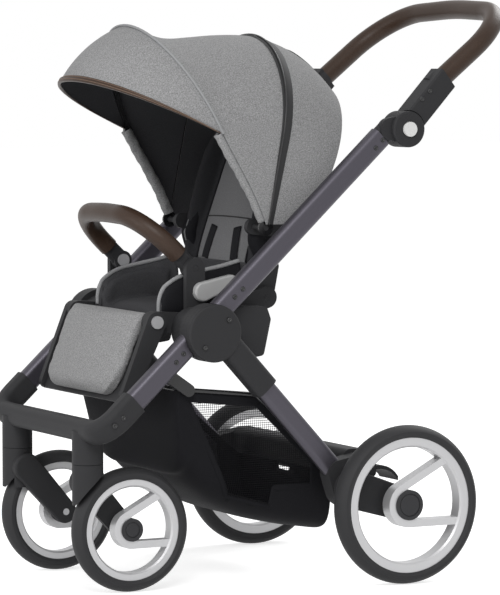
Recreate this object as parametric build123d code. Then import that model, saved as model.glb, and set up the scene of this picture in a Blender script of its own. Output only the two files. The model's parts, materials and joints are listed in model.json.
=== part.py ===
from build123d import *
from math import atan, atan2, cos, degrees, hypot, pi, radians, sin, tan
import os

# Folding baby stroller with a sit-up seat, built with the rear axle at X = 0.
# X points forward, Y to the child's left, Z up from the floor; all sizes are millimetres.
ORIGIN_X = 147.1  # middle of the whole part, forward of the rear axle

# Wheels
REAR_WHEEL_R = 140.0
REAR_TYRE_W = 41.0
REAR_RIM_R = 119.0
REAR_RIM_BORE_R = 102.0
REAR_WHEEL_Y = 289.0
FRONT_WHEEL_R = 108.5
FRONT_TYRE_W = 37.0
FRONT_RIM_R = 88.0
FRONT_RIM_BORE_R = 74.5
FRONT_WHEEL_Y = 151.0
RIM_INSET = 5.0  # how far the rim's faces lie inside the tyre's sides
RIM_CHAMFER = 3.0
TYRE_BASE_INSET = 3.5  # how much narrower the tyre is where it sits on the rim
TYRE_SHOULDER = 0.52  # part of the tyre's height at which its sides end
SPOKE_THICK = 13.0
SPOKE_RISE = 28.0  # degrees that the upper spoke climbs towards the rear
SPOKE_INSET = 3.0  # spoke faces inside the rim's faces
SPOKE_ROOT = 2.0  # spoke run into the rim
REAR_BARREL_R = 26.5
FRONT_BARREL_R = 20.0
AXLE_D = 12.0
CAP_RECESS = 1.6
CAP_RING = 6.0
FIT = 0.3  # running clearance on each side of a fit
BUTTON_HELD = 3.0  # depth of a button that stays in its pocket

# Side beams and hub
HUB_X = 355.5
HUB_Z = 450.6
HUB_R = 50.0
HUB_GAP = 0.6
BEAM_ANGLE = 43.0
BEAM_OFFSET = 13.0  # tube axis above the hub centre, square to the tube
BEAM_Y = 225.0
TUBE_H = 40.0
TUBE_T = 27.0
TUBE_WALL = 2.0
TUBE_CORNER = 11.0
HUB_PLATE_IN = 215.0
HUB_PLATE_T = 12.5
KNUCKLE_T = 13.0
COVER_T = 13.8
TONGUE_START = 30.0
TONGUE_END = 112.0
COVER_ROUND = 4.0
HUB_PIN_R = 9.0
HUB_HEAD_R = 14.4

# Rear legs
REAR_LEG_ANGLE = 47.4
REAR_LEG_OFFSET = 9.4
REAR_LEG_Y = 232.0
REAR_TUBE_H = 37.0
REAR_TUBE_T = 26.0
SOCKET_END = 144.0
SOCKET_WALL = 4.0
SOCKET_DEPTH = 60.0
REAR_LEG_END = 372.0

# Rear axle unit
REAR_ARM_IN = 240.0
REAR_ARM_OUT = 262.0
ARM_AXLE_R = 30.0
ARM_ROOT = (88.0, 168.0)
ARM_ROOT_R = 34.0
CROSS_CENTRE = (60.0, 206.0)
CROSS_DEPTH = 46.0
CROSS_HEIGHT = 56.0
CROSS_CORNER = 12.0
REAR_SHOE_IN = 215.0  # inner face of the shoe that takes the leg
PEDAL_PIVOT = (24.0, 190.0)
PEDAL_R = 8.0
PEDAL_PIN_R = 4.0
PEDAL_Y = (128.0, 196.0)
PEDAL_LENGTH = 62.0
PEDAL_THICK = 7.0
PEDAL_EAR = 16.0
PEDAL_DROP = 16.0

# Front end
CORNER_Z = 284.0
SLEEVE_START = 181.0
SLEEVE_WALL = 3.0
CROSSBAR_H = 38.0
CROSSBAR_D = 40.0
CROSSBAR_CORNER = 13.0
CROSSBAR_SEAM = 2.0  # crossbar ends this far inside the swivel housings
CORNER_BEND = 44.0
FRONT_TUBE_IN = 22.0  # leg tube pushed into the corner's sleeve
KINGPIN_TRAIL = 79.0  # front axle behind the kingpin
KINGPIN_SET = 3.2  # kingpin behind the crossbar's axis
KINGPIN_R = 6.0
HOUSING_R = 27.0
SWIVEL_SPLIT_Z = 226.5
SWIVEL_GAP = 0.8
FORK_TYRE_GAP = 7.0
FORK_SIDE_GAP = 3.5
FORK_ARM_T = 15.0
FORK_HEAD_LOW = 156.0
FORK_ARM_TOP_R = 25.0
FORK_ARM_TOP_Z = 192.0
FORK_ARM_LOW_R = 21.0

# Handle
HANDLE_HINGE_S = 518.0  # along the beam from the hub
HANDLE_HINGE_N = -9.6  # square to the beam from the hub centre
UPPER_TUBE_END = 474.0
HANDLE_DISC_R = 32.0
HANDLE_ROOM = 1.5  # gap round the disc, in which the arm turns
HANDLE_SPLIT_Y = 224.7
HANDLE_FACE_Y = 247.0
HANDLE_INNER_Y = 203.0
HANDLE_NECK_R = 21.0
HANDLE_BUTTON_R = 13.0
HANDLE_BUTTON_PROUD = 4.5
HANDLE_BUTTON_TRAVEL = 4.0
HANDLE_PIN_R = 6.0
COLLAR = (-112.6, 886.9)
COLLAR_R = 20.5
COLLAR_LENGTH = 26.0
GRIP_ANGLE = 38.8
GRIP_Y = 218.3
GRIP_R = 17.5
GRIP_ARM = 73.0
GRIP_BEND = 112.0
GRIP_BOW = 16.0

# Seat
SEAT_SIDE_IN = 150.0
SEAT_SIDE_T = 12.0
LEG_PIVOT = (429.0, 467.0)
LEG_BOSS_R = 18.0
BACK_PIVOT = (208.0, 503.0)
BACK_BOSS_R = 19.0
BUMPER_PIVOT = (347.9, 557.7)
BUMPER_BRACKET_R = 18.0
SEAT_RAIL_Z = 462.0
SEAT_PAN_T = 5.0
SEAT_PAN = (222.0, 418.0)
PIVOT_PIN_R = 5.0
MOUNT_OUT = 209.5
MOUNT_BOSS_R = 40.0
MOUNT_ROUND = 8.0
MOUNT_CORNERS = [(-130, 18), (-122, 40), (-78, 42), (-20, 20), (-20, -30), (-95, -48), (-116, -45)]

# Leg rest
LEG_ARM_T = 13.0
LEG_REST_ANGLE = 66.6
LEG_REST_LENGTH = 150.0
LEG_ARM_W = 26.0
LEG_PLATE_T = 7.0
LEG_PLATE_START = 28.0  # below the pivot, where the plate begins
LEG_PAD_START = -18.0  # the pad rolls up over the pivot to the seat's front edge
LEG_PAD_T = 15.0
LEG_PAD_CROWN = 9.0
LEG_PAD_STATIONS = [
    (0.0, 8.0, 0.2, 0.0),
    (0.12, 4.0, 0.8, 0.0),
    (0.45, 3.0, 1.0, 0.0),
    (0.7, 6.0, 1.0, 0.0),
    (0.9, 14.0, 0.8, 0.0),
    (1.0, 36.0, 0.3, 0.0),
]
LEG_BUTTON_R = 11.0
LEG_BUTTON_TRAVEL = 3.5

# Bumper bar
BUMPER_ANGLE = 43.7
BUMPER_ARM = 41.6
BUMPER_BEND = 86.8
BUMPER_BOW = 6.3
BUMPER_R = 17.0
BUMPER_END_T = 17.0
BUMPER_END_LENGTH = 34.0
BUMPER_BUTTON_R = 11.0
BUMPER_BUTTON_TRAVEL = 3.5

# Backrest and seat pads
BACK_ANGLE = 20.0  # lean of the backrest from upright
BACK_LENGTH = 345.0
BACK_PANEL_T = 10.0
BACK_START = 23.0  # above the pivot, where the panel and its pad begin
BACK_PAD_SHORT = 6.0  # pad ends this far below the panel's top
BACK_SIDE = 148.0
BACK_TOP_R = 95.0
BACK_PAD_T = 18.0
BACK_PAD_CROWN = 12.0
BACK_PAD_STATIONS = [
    (0.0, 12.0, 0.4, 30.0),
    (0.16, 3.0, 0.8, 46.0),
    (0.5, 7.0, 1.0, 62.0),
    (0.84, 3.0, 0.8, 50.0),
    (1.0, 26.0, 0.4, 24.0),
]
SEAT_PAD_START = 30.0  # forward of the pan's rear edge
SEAT_PAD_END = 14.0  # behind the pan's front edge
SEAT_PAD_T = 16.0
SEAT_PAD_CROWN = 10.0
SEAT_PAD_STATIONS = [
    (0.0, 6.0, 0.3, 84.0),
    (0.15, 1.0, 0.8, 86.0),
    (0.45, 3.0, 1.0, 79.0),
    (0.75, 1.0, 0.9, 68.0),
    (0.9, 3.0, 0.7, 54.0),
    (1.0, 8.0, 0.3, 34.0),
]
PAD_GAP = 0.4
PAD_RIM = 8.0  # thickness of a pad's raised side
PAD_SEAM = 1.0  # least height of the side above the pad's edge
PAD_SIDE_GAP = 2.0

# Canopy
CANOPY_PIVOT = (226.4, 626.6)
CANOPY_SIDE = 196.0
CANOPY_WALL = 3.0
CANOPY_CLEAR_R = 24.0  # cloth starts this far from the pivot
CANOPY_REAR_FOOT = (156.2, 613.3)  # lower end of the rear hoop, behind the backrest
CANOPY_REAR_A = 114.0
CANOPY_ZIP_A = 101.0
CANOPY_BOW_A = 62.5
CANOPY_REAR_R = 318.0
CANOPY_BULGE = 10.0  # swell of the cloth between the rear hoop and the zip
CANOPY_ZIP_R = 341.0
CANOPY_SAG = 12.0  # dip of the cloth between the zip and the front bow
CANOPY_BOW_R = 400.0
CANOPY_CROWN = 182.0  # height of the round top of the zip's hoop
BOW_WIDTH = 16.0
BOW_THICK = 4.0
BOW_GAP = 0.6
BOW_UNDER = 26.0  # bow below the ridge of the cloth
ZIP_GAP = 0.2  # degrees between neighbouring cloth panels
VISOR_HINGE_R = 185.0  # along the front bow, from the canopy pivot
VISOR_A = 27.0
VISOR_R = 197.0
VISOR_SWELL = 16.0  # bulge of the visor between its two edges
VISOR_START_R = 14.0
VISOR_INSET = 1.0  # visor narrower than the canopy, on each side
CLIP_R = 14.0

# Basket
BASKET_WALL = 3.0
BASKET_TOP_Y = 200.0
BASKET_LOW_Y = 168.0
BASKET_FRONT = 402.0
BASKET_FRONT_MID = 352.0
BASKET_FRONT_LOW = 332.0
BASKET_REAR = 96.0
BASKET_REAR_LOW = 116.0
BASKET_FRONT_Z = 348.0
BASKET_MID_Z = 200.0
BASKET_LOW_Z = 90.0
BASKET_SIDE_Z = 333.0
BASKET_SIDE_X = 252.0
BASKET_REAR_Z = 188.0
BASKET_CORNER = 34.0
RIM_ROD_R = 4.0
BRACKET_ALONG = 104.0  # down the front leg, where the rim's bracket is screwed on
BRACKET_X = 385.0  # where the bracket meets the rim
BRACKET_R = 11.0

# Seat lever
LEVER_PIVOT = (337.0, 517.0)
LEVER_T = 12.0
LEVER_LENGTH = 54.0
LEVER_H = 34.0

EXTRA = 40.0  # overlap of cutting tools


def beam_point(along, square=0.0):
    """Point (x, z) at a distance along the side beam and square to it, from the hub centre."""
    angle = radians(BEAM_ANGLE)
    x = HUB_X - along * cos(angle) + square * sin(angle)
    z = HUB_Z + along * sin(angle) + square * cos(angle)
    return (x, z)


def leg_point(along, square=0.0):
    """Point (x, z) at a distance down the rear leg and square to it, from the hub centre."""
    angle = radians(REAR_LEG_ANGLE)
    x = HUB_X - along * cos(angle) - square * sin(angle)
    z = HUB_Z - along * sin(angle) + square * cos(angle)
    return (x, z)


def turned(point, angle, along, square=0.0):
    """Point (x, z) reached from another along a direction given in degrees above forward."""
    a = radians(angle)
    return (point[0] + along * cos(a) - square * sin(a), point[1] + along * sin(a) + square * cos(a))


def disc(point, radius):
    return Pos(point[0], point[1]) * Circle(radius)


def hull(*discs):
    """Convex outline round several (point, radius) discs in the side view."""
    edges = []
    for point, radius in discs:
        edges += list(disc(point, radius).edges())
    return make_hull(edges)


def outline(*points):
    """Closed straight-sided outline in the side view."""
    return make_face(Polyline(*points, close=True))


def slab(sketch, y0, y1):
    """Side-view outline given thickness from y0 to y1."""
    return extrude(Plane.XZ.offset(-y0) * sketch, amount=y0 - y1)


def rod_y(point, radius, y0, y1):
    return slab(disc(point, radius), y0, y1)


def along_beam(sketch, start, end, square=BEAM_OFFSET, y=BEAM_Y):
    """Section (height, thickness) run along the side beam."""
    angle = radians(BEAM_ANGLE)
    x, z = beam_point(start, square)
    plane = Plane(origin=(x, y, z), x_dir=(sin(angle), 0, cos(angle)), z_dir=(-cos(angle), 0, sin(angle)))
    return extrude(plane * sketch, amount=end - start)


def along_leg(sketch, start, end):
    """Section (height, thickness) run down the rear leg."""
    angle = radians(REAR_LEG_ANGLE)
    x, z = leg_point(start, REAR_LEG_OFFSET)
    plane = Plane(
        origin=(x, REAR_LEG_Y, z), x_dir=(-sin(angle), 0, cos(angle)), z_dir=(-cos(angle), 0, -sin(angle))
    )
    return extrude(plane * sketch, amount=end - start)


def tube_section(height, thick, wall):
    outer = RectangleRounded(height, thick, TUBE_CORNER)
    return outer - RectangleRounded(height - 2 * wall, thick - 2 * wall, TUBE_CORNER - wall)


def other_side(shape):
    return mirror(shape, about=Plane.XZ)


pieces = {}


def keep(name, shape):
    pieces[name] = shape


def keep_pair(name, shape):
    keep("left_" + name, shape)
    keep("right_" + name, other_side(shape))


def keep_both(name, shape):
    """Two mirrored pieces of one kind in a single node."""
    keep(name, Compound(children=[shape, other_side(shape)]))


# Wheels: tyre, rim with its looped spoke, and hub barrel with the dust cap
def tyre(centre, radius, rim_r, width, y):
    half = width / 2
    base = half - TYRE_BASE_INSET
    shoulder = rim_r + (radius - rim_r) * TYRE_SHOULDER
    side = (rim_r + shoulder) / 2
    section = make_face(
        [
            Line((rim_r, -base), (rim_r, base)),
            Line((rim_r, base), (side, half)),
            Line((side, half), (shoulder, half)),
            ThreePointArc((shoulder, half), (radius, 0), (shoulder, -half)),
            Line((shoulder, -half), (side, -half)),
            Line((side, -half), (rim_r, -base)),
        ]
    )
    spun = revolve(Plane.XY * section, axis=Axis.Y)
    return Pos(centre[0], y, centre[1]) * spun


def spoke_outline(bore_r, loop_r):
    """Band that runs in from the rim, loops round the front of the barrel and runs out again."""
    outer = loop_r + SPOKE_THICK
    reach = bore_r + SPOKE_ROOT
    upper = 180.0 - SPOKE_RISE
    wedge_angles = [upper - 90 + (270 - upper + 90) * i / 4 for i in range(5)]
    wedge = outline((0, 0), *[turned((0, 0), a, 3 * outer) for a in wedge_angles])
    loop = Circle(outer) - Circle(loop_r) - wedge
    low = outline((0, -loop_r), (0, -outer), (-reach, -outer), (-reach, -loop_r))
    high = outline(
        turned((0, 0), upper, 0, -loop_r),
        turned((0, 0), upper, 0, -outer),
        turned((0, 0), upper, reach, -outer),
        turned((0, 0), upper, reach, -loop_r),
    )
    return (loop + low + high) & Circle(reach)


def rim(centre, rim_r, bore_r, barrel_r, width, y):
    half = width / 2 - RIM_INSET
    section = outline(
        (bore_r, RIM_CHAMFER - half),
        (bore_r + RIM_CHAMFER, -half),
        (rim_r, -half),
        (rim_r, half),
        (bore_r + RIM_CHAMFER, half),
        (bore_r, half - RIM_CHAMFER),
    )
    ring = revolve(Plane.XY * section, axis=Axis.Y)
    depth = half - SPOKE_INSET
    spokes = slab(spoke_outline(bore_r, barrel_r), -depth, depth)
    return Pos(centre[0], y, centre[1]) * (ring + spokes)


def barrel(centre, barrel_r, width, y):
    half = width / 2 - RIM_INSET
    body = rod_y((0, 0), barrel_r, -half, half)
    ring = Circle(barrel_r - CAP_RING) - Circle(barrel_r - CAP_RING - CAP_RECESS)
    body -= slab(ring, half - CAP_RECESS, half)
    body -= rod_y((0, 0), AXLE_D / 2 + FIT, -half, half - CAP_RING)
    body = chamfer(body.edges().filter_by(GeomType.CIRCLE).sort_by(Axis.Y)[-1:], CAP_RECESS / 2)
    return Pos(centre[0], y, centre[1]) * body


CORNER_S = (HUB_Z + BEAM_OFFSET * cos(radians(BEAM_ANGLE)) - CORNER_Z) / sin(radians(BEAM_ANGLE))
CORNER_X = beam_point(-CORNER_S, BEAM_OFFSET)[0]
KINGPIN_X = CORNER_X - KINGPIN_SET
REAR_AXLE = (0.0, REAR_WHEEL_R)
FRONT_AXLE = (KINGPIN_X - KINGPIN_TRAIL, FRONT_WHEEL_R)

keep_pair("rear_tyre", tyre(REAR_AXLE, REAR_WHEEL_R, REAR_RIM_R, REAR_TYRE_W, REAR_WHEEL_Y))
keep_pair("rear_rim", rim(REAR_AXLE, REAR_RIM_R, REAR_RIM_BORE_R, REAR_BARREL_R, REAR_TYRE_W, REAR_WHEEL_Y))
keep_pair("rear_wheel_hub", barrel(REAR_AXLE, REAR_BARREL_R, REAR_TYRE_W, REAR_WHEEL_Y))
keep_pair("front_tyre", tyre(FRONT_AXLE, FRONT_WHEEL_R, FRONT_RIM_R, FRONT_TYRE_W, FRONT_WHEEL_Y))
keep_pair(
    "front_rim", rim(FRONT_AXLE, FRONT_RIM_R, FRONT_RIM_BORE_R, FRONT_BARREL_R, FRONT_TYRE_W, FRONT_WHEEL_Y)
)
keep_pair("front_wheel_hub", barrel(FRONT_AXLE, FRONT_BARREL_R, FRONT_TYRE_W, FRONT_WHEEL_Y))


# Hub: three stacked plates, one for each of the front leg, the push bar and the rear leg
HUB = (HUB_X, HUB_Z)
PLATE_OUT = HUB_PLATE_IN + HUB_PLATE_T
KNUCKLE_IN = PLATE_OUT + FIT
KNUCKLE_OUT = KNUCKLE_IN + KNUCKLE_T
COVER_IN = KNUCKLE_OUT + FIT
COVER_OUT = COVER_IN + COVER_T
CAVITY_H = TUBE_H - 2 * TUBE_WALL
TUBE_IN = BEAM_Y - TUBE_T / 2
TUBE_OUT = BEAM_Y + TUBE_T / 2
CAVITY_IN = TUBE_IN + TUBE_WALL
CAVITY_OUT = TUBE_OUT - TUBE_WALL


def tongue(direction, y0, y1):
    """Flat spigot that runs from the hub into a side beam's tube."""
    half = CAVITY_H / 2 - (TUBE_CORNER - TUBE_WALL)
    near = direction * TONGUE_START
    far = direction * TONGUE_END
    corners = [
        beam_point(near, BEAM_OFFSET - half),
        beam_point(far, BEAM_OFFSET - half),
        beam_point(far, BEAM_OFFSET + half),
        beam_point(near, BEAM_OFFSET + half),
    ]
    return slab(outline(*corners), y0, y1)


def hub_plate():
    plate = rod_y(HUB, HUB_R, HUB_PLATE_IN, PLATE_OUT)
    plate += tongue(-1, max(HUB_PLATE_IN, CAVITY_IN + FIT), min(PLATE_OUT, CAVITY_OUT - FIT))
    return plate - rod_y(HUB, HUB_PIN_R + FIT, HUB_PLATE_IN, PLATE_OUT)


def hub_knuckle():
    plate = rod_y(HUB, HUB_R, KNUCKLE_IN, KNUCKLE_OUT)
    plate += tongue(1, KNUCKLE_IN, min(KNUCKLE_OUT, CAVITY_OUT - FIT))
    return plate - rod_y(HUB, HUB_PIN_R + FIT, KNUCKLE_IN, KNUCKLE_OUT)


def hub_cover():
    face = rod_y(HUB, HUB_R, COVER_IN, COVER_OUT)
    face = fillet(face.edges().filter_by(GeomType.CIRCLE).sort_by(Axis.Y)[-1:], COVER_ROUND)
    height = REAR_TUBE_H + 2 * SOCKET_WALL
    inner = REAR_LEG_Y - REAR_TUBE_T / 2 - SOCKET_WALL
    section = Rectangle(height, COVER_OUT - COVER_ROUND / 2 - inner)
    section = fillet(section.vertices(), TUBE_CORNER)
    section = Pos(0, (COVER_OUT - COVER_ROUND / 2 + inner) / 2 - REAR_LEG_Y) * section
    socket = along_leg(section, 0, SOCKET_END)
    socket -= rod_y(HUB, HUB_R + HUB_GAP, inner - EXTRA, COVER_IN - FIT / 2)
    pocket = RectangleRounded(REAR_TUBE_H + 2 * FIT, REAR_TUBE_T + 2 * FIT, TUBE_CORNER)
    socket -= along_leg(pocket, SOCKET_END - SOCKET_DEPTH, SOCKET_END + EXTRA)
    return face + socket - rod_y(HUB, HUB_PIN_R + FIT, COVER_IN - FIT, COVER_OUT - COVER_ROUND)


def hub_pin():
    head = rod_y(HUB, HUB_HEAD_R, HUB_PLATE_IN - COVER_ROUND, HUB_PLATE_IN)
    return head + rod_y(HUB, HUB_PIN_R, HUB_PLATE_IN, COVER_OUT - COVER_ROUND - FIT)


beam_section = tube_section(TUBE_H, TUBE_T, TUBE_WALL)
hub_room = rod_y(HUB, HUB_R + HUB_GAP, TUBE_IN - EXTRA, TUBE_OUT + EXTRA)

keep_pair("front_leg", along_beam(beam_section, -SLEEVE_START - FRONT_TUBE_IN, 0) - hub_room)
keep_pair("upper_tube", along_beam(beam_section, 0, UPPER_TUBE_END) - hub_room)
keep_both("hub_plates", hub_plate())
keep_both("hub_knuckles", hub_knuckle())
keep_pair("hub_cover", hub_cover())
keep_both("hub_pins", hub_pin())


# Rear legs, trailing arms, cross member and brake
def rear_arm():
    blade = slab(hull((REAR_AXLE, ARM_AXLE_R), (ARM_ROOT, ARM_ROOT_R)), REAR_ARM_IN, REAR_ARM_OUT)
    blade = fillet(blade.edges().group_by(Axis.Y)[-1], COVER_ROUND)
    foot = leg_point(REAR_LEG_END - REAR_TUBE_H / 2, REAR_LEG_OFFSET)
    shoe = slab(
        hull((ARM_ROOT, ARM_ROOT_R), (CROSS_CENTRE, CROSS_DEPTH / 2), (foot, REAR_TUBE_H / 2 + SOCKET_WALL)),
        REAR_SHOE_IN,
        REAR_LEG_Y + REAR_TUBE_T / 2 + SOCKET_WALL,
    )
    pocket = RectangleRounded(REAR_TUBE_H + 2 * FIT, REAR_TUBE_T + 2 * FIT, TUBE_CORNER)
    arm = blade + shoe - along_leg(pocket, SOCKET_END, REAR_LEG_END + FIT)
    return arm - rod_y(REAR_AXLE, AXLE_D / 2, REAR_ARM_IN, REAR_ARM_OUT)


def cross_member():
    section = Pos(*CROSS_CENTRE) * RectangleRounded(CROSS_DEPTH, CROSS_HEIGHT, CROSS_CORNER)
    beam = slab(section, -REAR_SHOE_IN, REAR_SHOE_IN)
    ear = hull((PEDAL_PIVOT, PEDAL_R), ((CROSS_CENTRE[0], PEDAL_PIVOT[1]), PEDAL_R))
    beam += slab(ear, PEDAL_Y[0] - FIT - PEDAL_EAR, PEDAL_Y[0] - FIT)
    beam += slab(ear, PEDAL_Y[1] + FIT, PEDAL_Y[1] + FIT + PEDAL_EAR)
    bore = rod_y(PEDAL_PIVOT, PEDAL_PIN_R + FIT, PEDAL_Y[0] - EXTRA, PEDAL_Y[1] + EXTRA)
    return beam - bore


def brake_pedal():
    tip = (PEDAL_PIVOT[0] - PEDAL_LENGTH, PEDAL_PIVOT[1] - PEDAL_DROP)
    mid = ((PEDAL_PIVOT[0] + tip[0]) / 2, PEDAL_PIVOT[1] + PEDAL_DROP / 3)
    half = PEDAL_THICK / 2
    plate = make_face(
        [
            ThreePointArc(
                (PEDAL_PIVOT[0], PEDAL_PIVOT[1] + half), (mid[0], mid[1] + half), (tip[0], tip[1] + half)
            ),
            Line((tip[0], tip[1] + half), (tip[0], tip[1] - half)),
            ThreePointArc(
                (tip[0], tip[1] - half), (mid[0], mid[1] - half), (PEDAL_PIVOT[0], PEDAL_PIVOT[1] - half)
            ),
            Line((PEDAL_PIVOT[0], PEDAL_PIVOT[1] - half), (PEDAL_PIVOT[0], PEDAL_PIVOT[1] + half)),
        ]
    )
    pedal = slab(plate, *PEDAL_Y) + rod_y(PEDAL_PIVOT, PEDAL_R, *PEDAL_Y)
    return pedal + rod_y(PEDAL_PIVOT, PEDAL_PIN_R, PEDAL_Y[0] - PEDAL_EAR, PEDAL_Y[1] + PEDAL_EAR)


def rear_axle_stub():
    end = REAR_WHEEL_Y + REAR_TYRE_W / 2 - RIM_INSET - CAP_RING - FIT
    return rod_y(REAR_AXLE, AXLE_D / 2, REAR_ARM_IN, end)


rear_section = tube_section(REAR_TUBE_H, REAR_TUBE_T, TUBE_WALL)
keep_pair("rear_leg", along_leg(rear_section, SOCKET_END - SOCKET_DEPTH + FIT, REAR_LEG_END))
keep_both("rear_arms", rear_arm())
keep_both("rear_axles", rear_axle_stub())
keep("rear_cross_member", cross_member())
keep("brake_pedal", brake_pedal())


# Front end: corner castings with the swivel housings, cross bar and casters
CROSSBAR_SEAM_Y = FRONT_WHEEL_Y - HOUSING_R - CROSSBAR_SEAM


def front_corner():
    section = RectangleRounded(TUBE_H + 2 * SLEEVE_WALL, TUBE_T + 2 * SLEEVE_WALL, TUBE_CORNER)
    elbow_x = CORNER_X - CORNER_BEND * cos(radians(BEAM_ANGLE))
    elbow_z = CORNER_Z + CORNER_BEND * sin(radians(BEAM_ANGLE))
    end_s = CORNER_S - CORNER_BEND
    sleeve = along_beam(section, -SLEEVE_START, -end_s)
    angle = radians(BEAM_ANGLE)
    start = Plane(
        origin=(elbow_x, BEAM_Y, elbow_z),
        x_dir=(sin(angle), 0, cos(angle)),
        z_dir=(cos(angle), 0, -sin(angle)),
    )
    finish = Plane(origin=(CORNER_X, CROSSBAR_SEAM_Y, CORNER_Z), x_dir=(0, 0, 1), z_dir=(0, -1, 0))
    bar = RectangleRounded(CROSSBAR_H, CROSSBAR_D, CROSSBAR_CORNER)
    path = FilletPolyline(
        (elbow_x, BEAM_Y, elbow_z),
        (CORNER_X, BEAM_Y, CORNER_Z),
        (CORNER_X, CROSSBAR_SEAM_Y, CORNER_Z),
        radius=CORNER_BEND * 0.9,
    )
    bend = sweep([start * section, finish * bar], path=path, multisection=True)
    housing = Pos(KINGPIN_X, FRONT_WHEEL_Y, (SWIVEL_SPLIT_Z + CORNER_Z) / 2) * Cylinder(
        HOUSING_R, CORNER_Z - SWIVEL_SPLIT_Z
    )
    corner = sleeve + bend + housing
    pocket = RectangleRounded(TUBE_H + 2 * FIT, TUBE_T + 2 * FIT, TUBE_CORNER)
    corner -= along_beam(pocket, -SLEEVE_START - FRONT_TUBE_IN - FIT, -SLEEVE_START + EXTRA)
    bore = Cylinder(KINGPIN_R + FIT, CORNER_Z - SWIVEL_SPLIT_Z)
    return corner - Pos(KINGPIN_X, FRONT_WHEEL_Y, SWIVEL_SPLIT_Z) * bore


def caster_fork():
    top = SWIVEL_SPLIT_Z - SWIVEL_GAP
    head = Pos(KINGPIN_X, FRONT_WHEEL_Y, (top + FORK_HEAD_LOW) / 2) * Cylinder(HOUSING_R, top - FORK_HEAD_LOW)
    arm_out = FRONT_WHEEL_Y - FRONT_TYRE_W / 2 - FORK_SIDE_GAP
    tyre_room = rod_y(FRONT_AXLE, FRONT_WHEEL_R + FORK_TYRE_GAP, arm_out, arm_out + 4 * HOUSING_R)
    knee = (KINGPIN_X - FORK_ARM_LOW_R / 4, FORK_ARM_TOP_Z)
    arm = slab(hull((knee, FORK_ARM_TOP_R), (FRONT_AXLE, FORK_ARM_LOW_R)), arm_out - FORK_ARM_T, arm_out)
    arm = fillet(arm.edges().group_by(Axis.Y)[0], COVER_ROUND)
    fork = head - tyre_room + arm
    fork -= rod_y(FRONT_AXLE, AXLE_D / 2, arm_out - FORK_ARM_T, arm_out)
    return fork - Pos(KINGPIN_X, FRONT_WHEEL_Y, top) * Cylinder(KINGPIN_R, top - FORK_HEAD_LOW)


def caster_pins():
    """Kingpin pressed in the fork head, and the wheel's stub axle pressed in the arm."""
    low = SWIVEL_SPLIT_Z - SWIVEL_GAP - (SWIVEL_SPLIT_Z - SWIVEL_GAP - FORK_HEAD_LOW) / 2
    high = SWIVEL_SPLIT_Z + (CORNER_Z - SWIVEL_SPLIT_Z) / 2 - FIT
    pin = Pos(KINGPIN_X, FRONT_WHEEL_Y, (low + high) / 2) * Cylinder(KINGPIN_R, high - low)
    arm_out = FRONT_WHEEL_Y - FRONT_TYRE_W / 2 - FORK_SIDE_GAP
    end = FRONT_WHEEL_Y + FRONT_TYRE_W / 2 - RIM_INSET - CAP_RING - FIT
    axle = rod_y(FRONT_AXLE, AXLE_D / 2, arm_out - FORK_ARM_T, end)
    return Compound(children=[pin, axle])


bar_profile = Pos(CORNER_X, CORNER_Z) * RectangleRounded(CROSSBAR_D, CROSSBAR_H, CROSSBAR_CORNER)
keep("front_crossbar", slab(bar_profile, -CROSSBAR_SEAM_Y, CROSSBAR_SEAM_Y))
keep_pair("front_corner", front_corner())
keep_pair("caster_fork", caster_fork())
keep_pair("caster_pins", caster_pins())


# Handle: hinge base on the push bar, swivelling arms, buttons and the padded grip
HANDLE_HINGE = beam_point(HANDLE_HINGE_S, HANDLE_HINGE_N)
HANDLE_ROOM_R = HANDLE_DISC_R + HANDLE_ROOM
HANDLE_POCKET_Y = HANDLE_FACE_Y - HANDLE_BUTTON_TRAVEL - 2 * BUTTON_HELD


def handle_base():
    outer = rod_y(HANDLE_HINGE, HANDLE_DISC_R, HANDLE_SPLIT_Y + FIT, HANDLE_FACE_Y)
    outer = fillet(outer.edges().filter_by(GeomType.CIRCLE).sort_by(Axis.Y)[-1:], COVER_ROUND)
    half = TUBE_H / 2
    web = hull(
        (beam_point(UPPER_TUBE_END + half, BEAM_OFFSET), half),
        (HANDLE_HINGE, HANDLE_DISC_R * 0.8),
    )
    web = slab(web, HANDLE_SPLIT_Y + FIT, TUBE_OUT)
    web = web - along_beam(Rectangle(4 * TUBE_H, 4 * TUBE_T), 0, UPPER_TUBE_END + FIT)
    spigot = along_beam(
        RectangleRounded(CAVITY_H - 2 * FIT, TUBE_T - 2 * TUBE_WALL - 2 * FIT, TUBE_CORNER - TUBE_WALL),
        UPPER_TUBE_END - 2 * half,
        UPPER_TUBE_END + half,
    )
    spigot -= rod_y(HANDLE_HINGE, HANDLE_ROOM_R, HANDLE_INNER_Y - EXTRA, HANDLE_SPLIT_Y + FIT)
    base = outer + web + spigot
    base -= rod_y(HANDLE_HINGE, HANDLE_BUTTON_R + FIT, HANDLE_POCKET_Y, HANDLE_FACE_Y)
    return base - rod_y(HANDLE_HINGE, HANDLE_PIN_R + FIT, HANDLE_SPLIT_Y, HANDLE_POCKET_Y)


def grip_point(along, y):
    x, z = turned(COLLAR, 180 - GRIP_ANGLE, along)
    return (x, y, z)


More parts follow.
